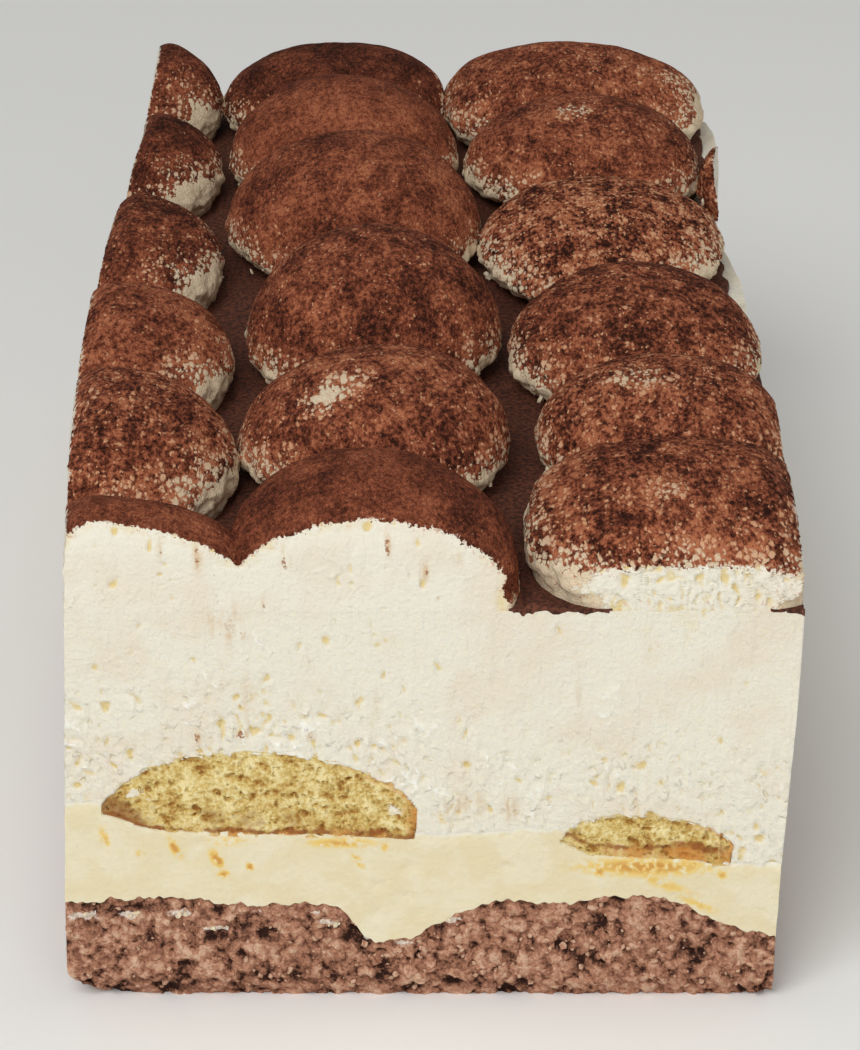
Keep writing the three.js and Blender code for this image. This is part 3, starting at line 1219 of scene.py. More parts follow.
@dataclass(frozen=True)
class PlainFinish:
    """A small scattered thing with two tones.

    Attributes:
        name: The material's name.
        light: Its lighter tone.
        dark: Its darker tone.
        size: The size of its mottling, in millimetres.
    """

    name: str
    light: Colour
    dark: Colour
    size: float = 0.5

    def material(self) -> Material:
        """A material with soft mottling.

        Returns:
            The material.
        """
        graph = Graph(self.name)
        mottle = graph.noise(self.size, 3.0, 0.6)
        colour = graph.mix(graph.step(mottle, 0.35, 0.65), self.dark, self.light)
        return graph.finish(colour, 0.85, mottle, 0.1)


# ---- Layers ----------------------------------------------------------------


@dataclass(frozen=True)
class Stain:
    """A soft-edged mark on the front cut.

    Attributes:
        x: Its place across the cut.
        z: Its height.
        wide: Its half width.
        high: Its half height.
        strength: How strong it is in its middle; above 1, its full colour reaches wider.
        lean: How far its top leans to the right for each millimetre up.
    """

    x: float
    z: float
    wide: float
    high: float
    strength: float
    lean: float = 0.0

    def at(self, x: np.ndarray, z: np.ndarray) -> np.ndarray:
        """How strongly it marks each place.

        Args:
            x: Place across the cut.
            z: Height.

        Returns:
            The strength, near 0 away from it.
        """
        across = (x - self.x - self.lean * (z - self.z)) / self.wide
        up = (z - self.z) / self.high
        return self.strength * np.exp(-(across**2) - up**2)


def strongest(stains: Sequence[Stain], x: np.ndarray, z: np.ndarray) -> np.ndarray:
    """The strongest mark of several stains at each place.

    Args:
        stains: The stains.
        x: Place across the cut.
        z: Height.

    Returns:
        The strength at each place.
    """
    return np.max([stain.at(x, z) for stain in stains], axis=0, initial=0)


def stain_rows(*rows: Sequence[float]) -> tuple[Stain, ...]:
    """Makes stains from rows of x, z, wide, high, strength and, where it leans, lean."""
    return tuple(Stain(*row) for row in rows)


@dataclass
class Biscuit:
    """A ladyfinger that runs along the bar and shows its crumb at both cuts.

    Attributes:
        name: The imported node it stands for.
        x: Its middle.
        half_width: Half its width.
        base: Height of its baked base.
        height: Its height.
        tip: How high its ends sit over its base.
        tilt: How far it slopes.
        line: How high its line of baked crust lies.
        coffee: How far coffee was drawn into its left end, up to 1.
        depth: How far its crumb lies behind the knife.
        smears: Marks of cream on its front cut.
    """

    name: str
    x: float
    half_width: float
    base: float
    height: float
    tip: float
    tilt: float
    line: float
    coffee: float
    depth: float = 0.3
    smears: Sequence[Stain] = ()

    CELL = 0.2
    CUTS_ALONG = 7
    SWELL = 0.05
    SWELL_LENGTH = 19
    WOBBLE = 0.22
    FLAT_LEFT = 0.6
    LEFT_SAG = 0.35
    FLAT_RIGHT = 0.95

    def swell(self, y: np.ndarray) -> np.ndarray:
        """How wide it is along the bar, against its front."""
        return 1 - self.SWELL * (1 - np.cos((y + HALF_LENGTH) / self.SWELL_LENGTH))

    def uneven(self, share: np.ndarray, apart: float) -> np.ndarray:
        """The small unevenness of its outline, the same at both cuts.

        Args:
            share: Place across it, from -1 to 1.
            apart: Where in the noise it is read, apart from its other side.

        Returns:
            The offset at each place.
        """
        flat = np.ravel(share)
        spots = np.column_stack((flat * self.half_width + apart, flat * 0, flat * 0 + self.base))
        wave = GRAIN.waves(spots, 2.2) + 0.7 * GRAIN.waves(spots, 0.9)
        return self.WOBBLE * wave.reshape(np.shape(share)) * ramp(np.abs(share), 1.0, 0.9)

    def roof(self, share: np.ndarray) -> np.ndarray:
        """Height of its top over its base, by the place across it.

        Args:
            share: Place across it, from -1 to 1.

        Returns:
            The height at each place.
        """
        tip = self.tip * (1 - self.LEFT_SAG * ramp(share, -0.5, -1.0))
        rise = (self.height - tip) * np.clip(1 - share**2, 0, 1) ** 0.55
        return tip + rise + self.tilt * share * self.half_width + self.uneven(share, 0)

    def floor(self, share: np.ndarray) -> np.ndarray:
        """Height of its underside over its base, by the place across it.

        Args:
            share: Place across it, from -1 to 1.

        Returns:
            The height at each place.
        """
        left = ramp(share, -self.FLAT_LEFT, -1.0)
        right = ramp(share, self.FLAT_RIGHT, 1.0)
        lift = self.tip * np.maximum((1 - self.LEFT_SAG) * left, right)
        return lift + self.tilt * share * self.half_width + self.uneven(share, 60)

    def inside(self, x: np.ndarray, y: np.ndarray, z: np.ndarray) -> np.ndarray:
        """Says how surely a place at a cut is behind the biscuit's crumb.

        Args:
            x: Place across the bar.
            y: Place along it.
            z: Height.

        Returns:
            0 outside its outline, 1 well inside.
        """
        swell = self.swell(y)
        share = (x - self.x) / (self.half_width * swell)
        within = np.clip(share, -1, 1)
        up = (z - self.base) / swell
        margin = np.minimum(self.roof(within) - up, up - self.floor(within))
        return np.where(np.abs(share) < 0.98, ramp(margin, 0.3, 0.7), 0)

    def relief(self, points: np.ndarray) -> np.ndarray:
        """How deep the crumb's holes are.

        Args:
            points: Places on the cut, one row each.

        Returns:
            The depth at each place.
        """
        bend = 0.5 * GRAIN.waves(points, 1.5)[:, None] * (1, 1, -1)
        distance, chance = GRAIN.cells(points + bend, (1.3, 1.3, 0.9))
        holes = np.where(chance < 0.4, ramp(distance, 0.6, 0.1), 0)
        fine, pick = GRAIN.cells(points + bend, 0.6)
        small = np.where(pick < 0.5, ramp(fine, 0.6, 0.15), 0)
        return 0.34 * holes + 0.22 * small + 0.12 * (GRAIN.waves(points, 2.5) + 1)

    def bake(self, piece: Piece, share: np.ndarray, over: np.ndarray, at: np.ndarray) -> None:
        """Writes where the crumb is baked, soaked and stained.

        Args:
            piece: The mesh.
            share: Place across it, from -1 to 1.
            over: Height over its underside.
            at: Its points.
        """
        waves = GRAIN.waves(at, 3.0)
        line = self.line * (0.7 + 0.3 * ramp(share, -0.6, 0.5)) + 0.3 * waves + 0.2 * GRAIN.waves(at, 1.1)
        broken = ramp(GRAIN.waves(at + 20, 3.0), -1.0, 0.0) * (0.85 + 0.4 * GRAIN.waves(at, 1.4))
        thick = 0.42 + 0.25 * ramp(share, 0.0, 0.8)
        streak = np.exp(-(((over - line) / thick) ** 2)) * broken
        ends = ramp(np.abs(share), 0.93, 1.0)
        low = ramp(over, line + 1.1, line - 0.5) * ramp(share, -0.9, 0.1) * (0.8 + 0.5 * waves)
        crown = self.roof(share) - self.floor(share) - over
        rim = 0.6 * ramp(crown, 1.6, 0.2) * ramp(share, 0.1, 0.8)
        wet = np.max((low, rim, 0.8 * ramp(share, 0.84, 1.0)), axis=0)
        tip = ramp(share + 0.1 * over, -0.28, -0.9)
        patches = ramp(GRAIN.waves(at + 9, 3.5), -0.2, 0.4) * ramp(np.abs(over - 2.2), 1.6, 0.5)
        skin = 0.35 * ramp(crown, 0.5, 0.0)
        drawn = self.coffee * np.maximum(1.2 * tip, 0.6 * patches * ramp(share, 0.5, 0.1))
        cream = np.sum([smear.at(at[:, 0], at[:, 2]) for smear in self.smears], axis=0)
        write_attributes(
            piece,
            baked=streak * (1 - 0.5 * ends),
            wet=0.85 * wet,
            stain=np.maximum(drawn, skin),
            smear=np.where(at[:, 1] < 0, cream, 0),
        )

    def build(self) -> Piece:
        """Models it from a grid that becomes one cut, extruded to the other.

        Returns:
            The finished mesh.
        """
        columns = round(2 * self.half_width / self.CELL)
        rows = round(self.height / self.CELL)
        piece = add_slab(self.name + "_crumb", columns, rows)
        with editing(piece):
            choose_edges(piece, lambda a, b: abs(a.z - b.z) > 0.5)
            bpy.ops.mesh.subdivide(number_cuts=self.CUTS_ALONG)
        share, up, far = read_points(piece).T
        share = np.sign(share) * (1 - (1 - np.abs(share)) ** 1.25)
        along = 2 * far - 1
        swell = self.swell(along * HALF_LENGTH)
        low = self.floor(share)
        rise = low + (self.roof(share) - low) * (up + 1) / 2
        x = self.x + share * self.half_width * swell
        z = self.base + rise * swell
        nominal = np.column_stack((x, along * HALF_LENGTH, z))
        at_cut = np.abs(along) > 0.99
        rim = np.minimum(1 - np.abs(share), (1 - np.abs(up)) / 2)
        holes = self.relief(nominal) * ramp(rim, 0, 0.04)
        depth = np.where(at_cut, self.depth + holes, 0)
        points = nominal.copy()
        points[:, 1] = along * (HALF_LENGTH - depth)
        write_points(piece, points)
        write_attributes(piece, hollow=holes / 0.7)
        self.bake(piece, share, rise - low, nominal)
        smooth(piece)
        return piece

    def dress(self, piece: Piece, finish: Material) -> None:
        """Gives it its material and its place in the frame."""
        hand_over(piece, finish, [self.name])


@dataclass
class Layer:
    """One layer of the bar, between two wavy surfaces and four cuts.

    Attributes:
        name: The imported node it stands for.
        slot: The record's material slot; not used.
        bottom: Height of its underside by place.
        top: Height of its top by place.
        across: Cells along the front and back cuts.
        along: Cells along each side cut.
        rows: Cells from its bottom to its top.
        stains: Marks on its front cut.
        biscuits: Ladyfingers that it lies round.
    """

    name: str
    slot: str
    bottom: Callable[[np.ndarray, np.ndarray], np.ndarray]
    top: Callable[[np.ndarray, np.ndarray], np.ndarray]
    across: int
    along: int
    rows: int
    stains: Sequence[Stain] = ()
    biscuits: Sequence[Biscuit] = ()

    CAP_RINGS = (0.985, 0.95, 0.88, 0.7, 0.35)
    BISCUIT_HOLLOW = 1.4
    DEEPEST = 1.0
    SEAM = 2.4
    FAINT = 0.25
    MIDDLE_HEIGHT = 20

    def relief(self, points: np.ndarray) -> np.ndarray:
        """How far its cuts lie behind the knife."""
        return np.zeros(len(points))

    def blank(self) -> Piece:
        """Models a ring of walls with a cap of rings at each end.

        Returns:
            The blank, one unit in radius and from -1 to 1 in height.
        """
        columns = 2 * (self.across + self.along)
        deselect()
        bpy.ops.mesh.primitive_cylinder_add(
            vertices=columns, radius=1, depth=2, end_fill_type="NOTHING"
        )
        piece = bpy.context.object
        piece.name = self.name + "_body"
        with editing(piece):
            for end in (-1.0, 1.0):
                choose_edges(piece, lambda a, b: abs(a.z - end) + abs(b.z - end) < 0.01)
                size = 1.0
                for ring in self.CAP_RINGS:
                    bpy.ops.mesh.extrude_edges_move(TRANSFORM_OT_translate={"value": (0, 0, 0)})
                    shrink = ring / size
                    bpy.ops.transform.resize(value=(shrink, shrink, 1), center_override=(0, 0, end))
                    size = ring
                bpy.ops.mesh.extrude_edges_move(TRANSFORM_OT_translate={"value": (0, 0, 0)})
                bpy.ops.mesh.merge(type="CENTER")
            choose_edges(piece, lambda a, b: abs(a.z - b.z) > 1)
            bpy.ops.mesh.subdivide(number_cuts=self.rows - 1)
            face_outwards()
        return piece

    def stations(self) -> tuple[np.ndarray, np.ndarray]:
        """Places round the outline, from -1 to 1 across and along the bar.

        Returns:
            The places across, and the places along.
        """
        front = 2 * np.arange(self.across) / self.across - 1
        side = 2 * np.arange(self.along) / self.along - 1
        across = np.concatenate((front, np.ones(self.along), -front, -np.ones(self.along)))
        along = np.concatenate((-np.ones(self.across), side, np.ones(self.across), -side))
        return across, along

    def build(self) -> Piece:
        """Lays the blank's walls onto the cuts and its caps onto the surfaces.

        Returns:
            The finished mesh.
        """
        piece = self.blank()
        blank = read_points(piece)
        reach = np.hypot(blank[:, 0], blank[:, 1])
        columns = 2 * (self.across + self.along)
        turn = np.arctan2(blank[:, 1], blank[:, 0]) / (2 * np.pi)
        index = np.round(turn * columns).astype(int) % columns
        across, along = (place[index] for place in self.stations())
        share = (blank[:, 2] + 1) / 2
        nothing = np.zeros(len(blank))
        middle = CUTS.place(across, along, nothing + self.MIDDLE_HEIGHT, nothing)
        inner = reach < 0.999
        spot = np.where(inner[:, None], middle * reach[:, None], middle)
        low = self.bottom(spot[:, 0], spot[:, 1])
        high = self.top(spot[:, 0], spot[:, 1])
        z = low + (high - low) * share
        nominal = CUTS.place(across, along, z, nothing)
        depth = self.relief(nominal)
        facing = np.abs(along) >= 1
        for biscuit in self.biscuits:
            hidden = biscuit.inside(nominal[:, 0], nominal[:, 1], z)
            depth = np.where(facing, depth + self.BISCUIT_HOLLOW * hidden, depth)
        points = CUTS.place(across, along, z, depth)
        points[inner, :2] = points[inner, :2] * reach[inner, None]
        write_points(piece, points)
        marks = strongest(self.stains, nominal[:, 0], z)
        write_attributes(
            piece,
            hollow=np.clip(depth / self.DEEPEST, 0, 1),
            torn=np.max(torn_cream(nominal), axis=0),
            share=np.clip(1 - (1 - share) * (high - low) / self.SEAM, 0, 1),
            stain=np.where(along <= -1, marks, self.FAINT * marks),
        )
        smooth(piece)
        return piece

    def dress(self, piece: Piece, finish: Material) -> None:
        """Gives it its material and its place in the frame."""
        hand_over(piece, finish, [self.name])


class SpongeLayer(Layer):
    """Chocolate sponge, cut through its crumb."""

    def relief(self, points: np.ndarray) -> np.ndarray:
        """Rounded clumps of crumb with holes between them.

        Args:
            points: Places on the cut, one row each.

        Returns:
            The depth at each place.
        """
        bend = 0.6 * GRAIN.waves(points, 1.8)[:, None] * (1, 1, -1)
        wide, pick = GRAIN.cells(points + bend, 2.3)
        small, chance = GRAIN.cells(points + bend, 1.15)
        tiny, _ = GRAIN.cells(points + bend, 0.6)
        clump = 0.4 * wide**2 + 0.62 * small**2 + 0.3 * tiny**2
        torn = np.where(pick < 0.2, 0.6 * ramp(wide, 0.8, 0.2), 0)
        hole = np.where(chance < 0.2, 0.6 * ramp(small, 0.65, 0.15), 0)
        rough = 0.14 * (GRAIN.waves(points, 0.6) + 0.5)
        return np.clip(clump + torn + hole + rough, 0.02, 1.5)


def torn_cream(points: np.ndarray) -> tuple[np.ndarray, np.ndarray]:
    """Where cut cream is torn instead of smooth.

    Args:
        points: Places on the cut, one row each.

    Returns:
        How torn it is low in the bar and on the dome at the right, from 0 to 1.
    """
    fall = ramp(points[:, 0], -12, 16)
    rough_from = points[:, 2] + 5 * GRAIN.waves(points, 9.0) + 7 * fall
    fluff = ramp(points[:, 0], 15, 20) * ramp(points[:, 2], 46.0, 48.5) * ramp(points[:, 1], -66, -76)
    return ramp(rough_from, 45, 31), fluff


def cream_relief(points: np.ndarray) -> np.ndarray:
    """How far cut cream lies behind the knife.

    The same relief runs over the cream layer and the domes, so that their cut
    faces are flush.

    Args:
        points: Places on the cut, one row each.

    Returns:
        The depth at each place.
    """
    swell = 0.1 * GRAIN.waves(points, 7.0) + 0.05 * GRAIN.waves(points, 2.3)
    drag = 0.04 * GRAIN.waves(points, (0.9, 0.9, 7.0))
    bend = 0.8 * GRAIN.waves(points, 2.0)[:, None] * (1, 1, 0) + 0.7 * GRAIN.waves(
        points + 50, 1.6
    )[:, None] * (0, 0, 1)
    low, fluff = torn_cream(points)
    small, chance = GRAIN.cells(points + bend, (1.3, 1.3, 2.0))
    often = 0.03 + 0.1 * ramp(points[:, 0], 14, -2) + 0.2 * low + 0.2 * fluff
    pits = np.where(chance < often, ramp(small, 0.46, 0.12), 0)
    tiny, pick = GRAIN.cells(points + bend, (0.75, 0.75, 1.1))
    nicks = np.where(pick < often, ramp(tiny, 0.46, 0.12), 0)
    flakes = np.where(pick > 0.84, ramp(tiny, 0.46, 0.12), 0)
    line = np.abs(GRAIN.waves(points + 40 + bend, (3.4, 3.4, 2.6)))
    ridge = ramp(line, 0.1, 0.0) * ramp(GRAIN.waves(points - 30, 7.0), 0.15, 0.6)
    proud = flakes * (0.2 + 0.7 * np.maximum(low, fluff))
    whipped = np.abs(GRAIN.waves(points + bend, (1.5, 1.5, 1.3))) - 0.3
    curdled = np.abs(GRAIN.waves(points + 70 + bend, 0.75)) - 0.3
    combed = np.abs(GRAIN.waves(points + bend, (0.8, 0.8, 2.6))) - 0.3
    patchy = 0.12 + low * (0.4 + 0.6 * ramp(GRAIN.waves(points + 15, 5.0), -0.3, 0.4))
    torn = patchy * (0.5 * whipped + 0.24 * curdled) + fluff * (0.55 * combed + 0.22 * curdled)
    fine = 0.28 * pits + 0.15 * nicks - 0.16 * proud - 0.16 * ridge + torn
    return np.clip(0.36 + swell + drag + fine, 0.03, 1.0)


class CreamLayer(Layer):
    """Thick whipped cream, dragged by the knife."""

    def relief(self, points: np.ndarray) -> np.ndarray:
        """Swells, pits and drag marks."""
        return cream_relief(points)


class CustardLayer(Layer):
    """Smooth custard."""

    def relief(self, points: np.ndarray) -> np.ndarray:
        """Long low swells and a few dents, flush with the cream at its top.

        Args:
            points: Places on the cut, one row each.

        Returns:
            The depth at each place.
        """
        small, chance = GRAIN.cells(points, (3.4, 3.4, 2.2))
        dents = np.where(chance < 0.2, 0.2 * ramp(small, 0.4, 0.1), 0)
        swell = 0.08 * GRAIN.waves(points, 5.0) + 0.03 * GRAIN.waves(points, 1.5)
        smooth_cut = np.clip(0.24 + swell + dents, 0.03, 0.7)
        under = SURFACES.custard_top(points[:, 0], points[:, 1]) - points[:, 2]
        share = ramp(under, 1.2, 0.1)
        return share * cream_relief(points) + (1 - share) * smooth_cut


# ---- Topping ---------------------------------------------------------------


class Row(Enum):
    """The rows of domes, seen from the front cut; the last is a mere sliver."""

    LEFT = "left"
    MIDDLE = "middle"
    RIGHT = "right"
    EDGE = "edge"


@dataclass(frozen=True)
class Bald:
    """A place on a dome where little powder has settled.

    Attributes:
        x: Its place across the bar.
        y: Its place along it.
        radius: Its size.
        strength: How much of the powder is missing.
    """

    x: float
    y: float
    radius: float
    strength: float


@dataclass
class Dome:
    """One piped dome of cream.

    Attributes:
        x: Its middle across the bar.
        y: Its middle along it.
        across: Its reach across.
        along: Its reach along.
        height: Its height over the cream layer.
        lean: How far its peak leans back.
        peak: Under 1, its flanks are flatter and its peak is pointed.
        foot: How wide it stands on the cream layer, against its belly.
        corners: Over 2, its belly fills out from an oval to a box.
        lip: Height of its pale lower lip.
        speckle: How much cream shows through its powder.
        wet: How much darker its powder is, from water it has drawn and from painted shade where the dome
            lies in shadow.
        bald: Places with little powder.
        joint: Where across the front cut it merges with its neighbour, if it does.
    """

    x: float
    y: float
    across: float
    along: float
    height: float
    lean: float
    peak: float = 1.0
    foot: float = 0.7
    corners: float = 2.0
    lip: float = 4.6
    speckle: float = 0.3
    wet: float = 0.0
    bald: Sequence[Bald] = ()
    joint: float | None = None

    JOINT_TOP = 51.7
    BELLY = 3.2
    UNDERCURVE = 4.5
    SIT = 0.3
    SUNK = 0.6
    BLANK_SKIRT = math.radians(20)
    USUAL_DEPTH = 0.3
    WAY_PAST = 3
    STAINED = 3
    HEADROOM = 0.05
    OVAL = 0.025
    THREE_SIDED = 0.02

    def shape(self, ways: np.ndarray, seed: float) -> np.ndarray:
        """Shapes the round blank into this dome.

        Args:
            ways: The blank's points, one unit from its middle.
            seed: Which dome this is, for its own unevenness.

        Returns:
            The dome's points before the knife cuts.
        """
        tall = np.arcsin(np.clip(ways[:, 2], -1, 1))
        round_it = np.arctan2(ways[:, 1], ways[:, 0])
        lowest = math.asin(self.BELLY / self.UNDERCURVE)
        under = np.clip(-tall / self.BLANK_SKIRT, 0, 1) * lowest
        tuck = (1 - np.cos(under)) * (1 - self.foot) / (1 - math.cos(lowest))
        low = under > 0
        reach = np.where(low, 1 - tuck, np.clip(np.cos(tall), 0, 1) ** (1 / self.peak))
        rise = np.where(
            low,
            self.BELLY - self.UNDERCURVE * np.sin(under),
            self.BELLY + (self.height - self.BELLY) * np.sin(np.maximum(tall, 0)),
        )
        oval = self.OVAL * np.sin(2 * round_it + seed)
        wobble = 1 + oval + self.THREE_SIDED * np.sin(3 * round_it + 2 * seed)
        up = np.clip((rise - self.BELLY) / (self.height - self.BELLY), 0, 1)
        across, along = np.cos(round_it), np.sin(round_it)
        box = (np.abs(across) ** self.corners + np.abs(along) ** self.corners) ** (-1 / self.corners)
        reach = reach * wobble * (box + (1 - box) * up)
        x = self.x + self.across * reach * across
        y = self.y + self.along * reach * along + self.lean * up
        z = CREAM_TOP + self.SIT + rise - up * CUTS.shoulder_drop(x, y)
        z = np.where(rise < 0.02, CREAM_TOP - self.SUNK, z)
        return np.column_stack((x, y, z))

    def lumps(self, points: np.ndarray, ways: np.ndarray) -> np.ndarray:
        """Presses in the shallow hollows that piping leaves.

        Args:
            points: The dome's points.
            ways: The blank's points, which say what way each place faces.

        Returns:
            The uneven points.
        """
        out = ways / (self.across, self.along, self.height)
        out = out / np.linalg.norm(out, axis=1, keepdims=True)
        depth = (
            0.42 * (1 - GRAIN.waves(points, 8.0))
            + 0.22 * (1 - GRAIN.waves(points, 3.2))
            + 0.07 * (1 - GRAIN.waves(points, 1.1))
        )
        frill = GRAIN.waves(points, (2.4, 2.4, 1.4)) + 0.6 * GRAIN.waves(points, 1.1)
        flank = 0.55 * frill * ramp(points[:, 2], CREAM_TOP + 6.0, CREAM_TOP + 2.5)
        fade = ramp(points[:, 2], CREAM_TOP, CREAM_TOP + 0.8)
        return points - out * ((0.55 * depth - 0.2 + flank) * fade)[:, None]

    def anchor(self) -> np.ndarray:
        """The middle of what the knife left of it.

        Returns:
            The place, at the dome's sole.
        """
        y_low = max(self.y - self.along, -HALF_LENGTH)
        y_high = min(self.y + self.along, HALF_LENGTH)
        y = (y_low + y_high) / 2
        here = np.array([y]), np.array([CREAM_TOP])
        x_low = max(self.x - self.across, CUTS.left(*here)[0])
        x_high = min(self.x + self.across, CUTS.right(*here)[0])
        return np.array(((x_low + x_high) / 2, y, CREAM_TOP - self.SUNK))

    def cover(self, points: np.ndarray, ways: np.ndarray) -> np.ndarray:
        """How thick the powder lies, from about 0 to 1.

        Args:
            points: The dome's points before the knife cuts.
            ways: The blank's points, which say what way each place faces.

        Returns:
            The powder's thickness at each point.
        """
        over = points[:, 2] - CREAM_TOP - 1.3 * GRAIN.waves(points, 6.0) - 0.6 * GRAIN.waves(points, 2.5)
        thick = ramp(over, 0.3 * self.lip, 1.9 * self.lip)
        for place in self.bald:
            far = np.hypot(points[:, 0] - place.x, points[:, 1] - place.y)
            thick = thick - place.strength * np.exp(-((far / place.radius) ** 2))
        return thick

    def merged(self, points: np.ndarray) -> np.ndarray:
        """Where it has merged with its neighbour, so that no rim shows, from 0 to 1.

        Args:
            points: Places on the dome, one row each.

        Returns:
            How far it has merged at each.
        """
        if self.joint is None:
            return np.zeros(len(points))
        near = ramp(np.abs(points[:, 0] - self.joint), 3.4, 2.4)
        return near * ramp(points[:, 2], self.JOINT_TOP + 0.3, self.JOINT_TOP - 0.3)

    def build(self, blank: bpy.types.Mesh, name: str, seed: float) -> Piece:
        """Models the dome from a copy of the blank.

        Args:
            blank: The round blank.
            name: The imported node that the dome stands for.
            seed: Which dome this is, for its own unevenness.

        Returns:
            The finished mesh.
        """
        piece = bpy.data.objects.new(name + "_piped", blank.copy())
        bpy.context.collection.objects.link(piece)
        ways = read_points(piece)
        ways = ways / np.linalg.norm(ways, axis=1, keepdims=True)
        piped = self.lumps(self.shape(ways, seed), ways)
        piped[:, 2] = np.minimum(piped[:, 2], HIGHEST - self.HEADROOM)
        anchor = self.anchor()
        nearly, over = CUTS.trim(piped, anchor, np.full(len(piped), self.USUAL_DEPTH))
        rim = 0.1 * ramp(over + self.WAY_PAST * self.merged(nearly), 2.6, 0.3)
        depth = cream_relief(nearly) + rim + np.where(nearly[:, 2] < CREAM_TOP - 0.3, 0.03, 0)
        points, past = CUTS.trim(piped, anchor, depth)
        write_points(piece, points)
        marks = strongest(CREAM_STAINS, points[:, 0], points[:, 2])
        write_attributes(
            piece,
            past=np.clip(past + self.WAY_PAST * self.merged(points), -self.WAY_PAST, self.WAY_PAST),
            cover=self.cover(piped, ways),
            speckle=self.speckle,
            wet=self.wet,
            hollow=np.clip(depth, 0, 1),
            torn=np.max(torn_cream(points), axis=0),
            stain=np.where(points[:, 1] < self.STAINED - HALF_LENGTH, marks, 0),
        )
        smooth(piece)
        return piece


def every_dome(rows: dict[Row, Sequence[Dome]]) -> Iterator[Dome]:
    """All domes, row by row."""
    return (dome for domes in rows.values() for dome in domes)


@dataclass
class Topping:
    """Three rows of piped domes on a floor of cocoa.

    Attributes:
        rows: The domes of each row, from the front.
        blank_parts: How often the round blank is subdivided.
        floor_cell: Cell size of the cocoa floor.
        floor_thick: How thick the powder on the floor is.
        floor_tuck: How far the floor ends behind a cut under a dome.
        bare_strip: How wide a strip is bare of powder at the right cut.
    """

    rows: dict[Row, Sequence[Dome]]
    blank_parts: int = 7
    floor_cell: float = 0.6
    floor_thick: float = 0.5
    floor_tuck: float = 2.5
    bare_strip: float = 2.4

    SEED_STEP = 1.7
    NEAR_DOMES = 1.12
    FOOT_EDGE = 0.06
    STRIP_STARTS = (-14, -4)
    STRIP_ENDS = (81, 76)

    def blank(self) -> Piece:
        """Models the round blank: a sphere cut off below its belly.

        Returns:
            The blank, one unit in radius.
        """
        deselect()
        bpy.ops.mesh.primitive_ico_sphere_add(subdivisions=self.blank_parts, radius=1)
        piece = bpy.context.object
        level = -math.sin(Dome.BLANK_SKIRT)
        with editing(piece):
            bpy.ops.mesh.select_all(action="SELECT")
            bpy.ops.mesh.bisect(
                plane_co=(0, 0, level), plane_no=(0, 0, 1), use_fill=True, clear_inner=True
            )
        return piece

    def under_domes(self, x: np.ndarray, y: np.ndarray, reach_out: float = 1.0) -> np.ndarray:
        """Says where a dome stands on the floor or near it, from 0 to 1.

        Args:
            x: Place across the bar.
            y: Place along it.
            reach_out: How far out it counts, against the dome's foot.

        Returns:
            1 under a dome, 0 away from all.
        """
        most = np.zeros_like(x)
        for dome in every_dome(self.rows):
            across = np.abs(x - dome.x) / dome.across
            along = np.abs(y - dome.y) / dome.along
            reach = (across**dome.corners + along**dome.corners) ** (1 / dome.corners)
            here = ramp(reach / dome.foot, reach_out, reach_out - self.FOOT_EDGE)
            most = np.maximum(most, here)
        return most

    def floor(self) -> Piece:
        """Models the cocoa that fell between the domes, as a thin uneven slab.

        Returns:
            The finished mesh.
        """
        columns = round(2 * CUTS.half_width / self.floor_cell)
        rows = round(2 * CUTS.half_length / self.floor_cell)
        piece = add_slab("cocoa_floor", columns, rows)
        across, along, up = read_points(piece).T
        height = np.full_like(across, CREAM_TOP)
        nominal = CUTS.place(across, along, height, np.zeros_like(across))
        rise = self.floor_thick + 0.25 * GRAIN.waves(nominal, 5.0) + 0.12 * GRAIN.waves(nominal, 1.5)
        hidden = self.under_domes(nominal[:, 0], nominal[:, 1])
        near = self.under_domes(nominal[:, 0], nominal[:, 1], self.NEAR_DOMES)
        rise = rise * (1 - 0.9 * near)
        strip = ramp(nominal[:, 1], *self.STRIP_STARTS) * ramp(nominal[:, 1], *self.STRIP_ENDS)
        strip = strip * ramp(across, 0.8, 1.0)
        bare = self.bare_strip * strip * (0.8 + 0.4 * GRAIN.waves(nominal, 4.0))
        depth = cream_relief(nominal) - 0.02 + self.floor_tuck * hidden
        points = CUTS.place(across, along, height, depth)
        points[:, 0] -= bare
        edge = np.maximum(np.abs(across), np.abs(along)) >= 1
        ragged = 0.35 + 0.7 * GRAIN.waves(nominal, 1.6) + 0.4 * GRAIN.waves(nominal, 3.0)
        lowest = CREAM_TOP - np.where(edge, np.clip(ragged, 0.0, 1.0), 0.6)
        points[:, 2] = np.where(up > 0.5, CREAM_TOP + np.where(edge, 0.6, 1) * rise, lowest)
        write_points(piece, points)
        smooth(piece)
        return piece

    def build(self, finish: Material, floor_finish: Material) -> None:
        """Builds and dresses every dome and the floor.

        Args:
            finish: The domes' material.
            floor_finish: The floor's material.
        """
        blank = self.blank()
        index = 0
        for row, domes in self.rows.items():
            for place, dome in enumerate(domes, start=1):
                name = f"cream_dome_{row.value}_{place}"
                piece = dome.build(blank.data, name, self.SEED_STEP * index)
                hand_over(piece, finish, [name])
                index += 1
        bpy.data.objects.remove(blank)
        hand_over(self.floor(), floor_finish)


# ---- Scattered bits --------------------------------------------------------


@dataclass(frozen=True)
class Cluster:
    """A handful of bits on the front cut.

    Attributes:
        x: Its middle across the cut.
        z: Its height.
        wide: How far its bits spread across.
        high: How far they spread up and down.
        count: How many there are.
    """

    x: float
    z: float
    wide: float
    high: float
    count: int

    def places(self, draw: np.random.Generator) -> np.ndarray:
        """Draws where the bits lie, one row each.

        Args:
            draw: The random draw.

        Returns:
            Their places.
        """
        x = self.x + self.wide * draw.uniform(-1, 1, self.count)
        z = self.z + self.high * draw.uniform(-1, 1, self.count)
        y = -CUTS.half_length + draw.uniform(0.25, 0.55, self.count)
        return np.column_stack((x, y, z))


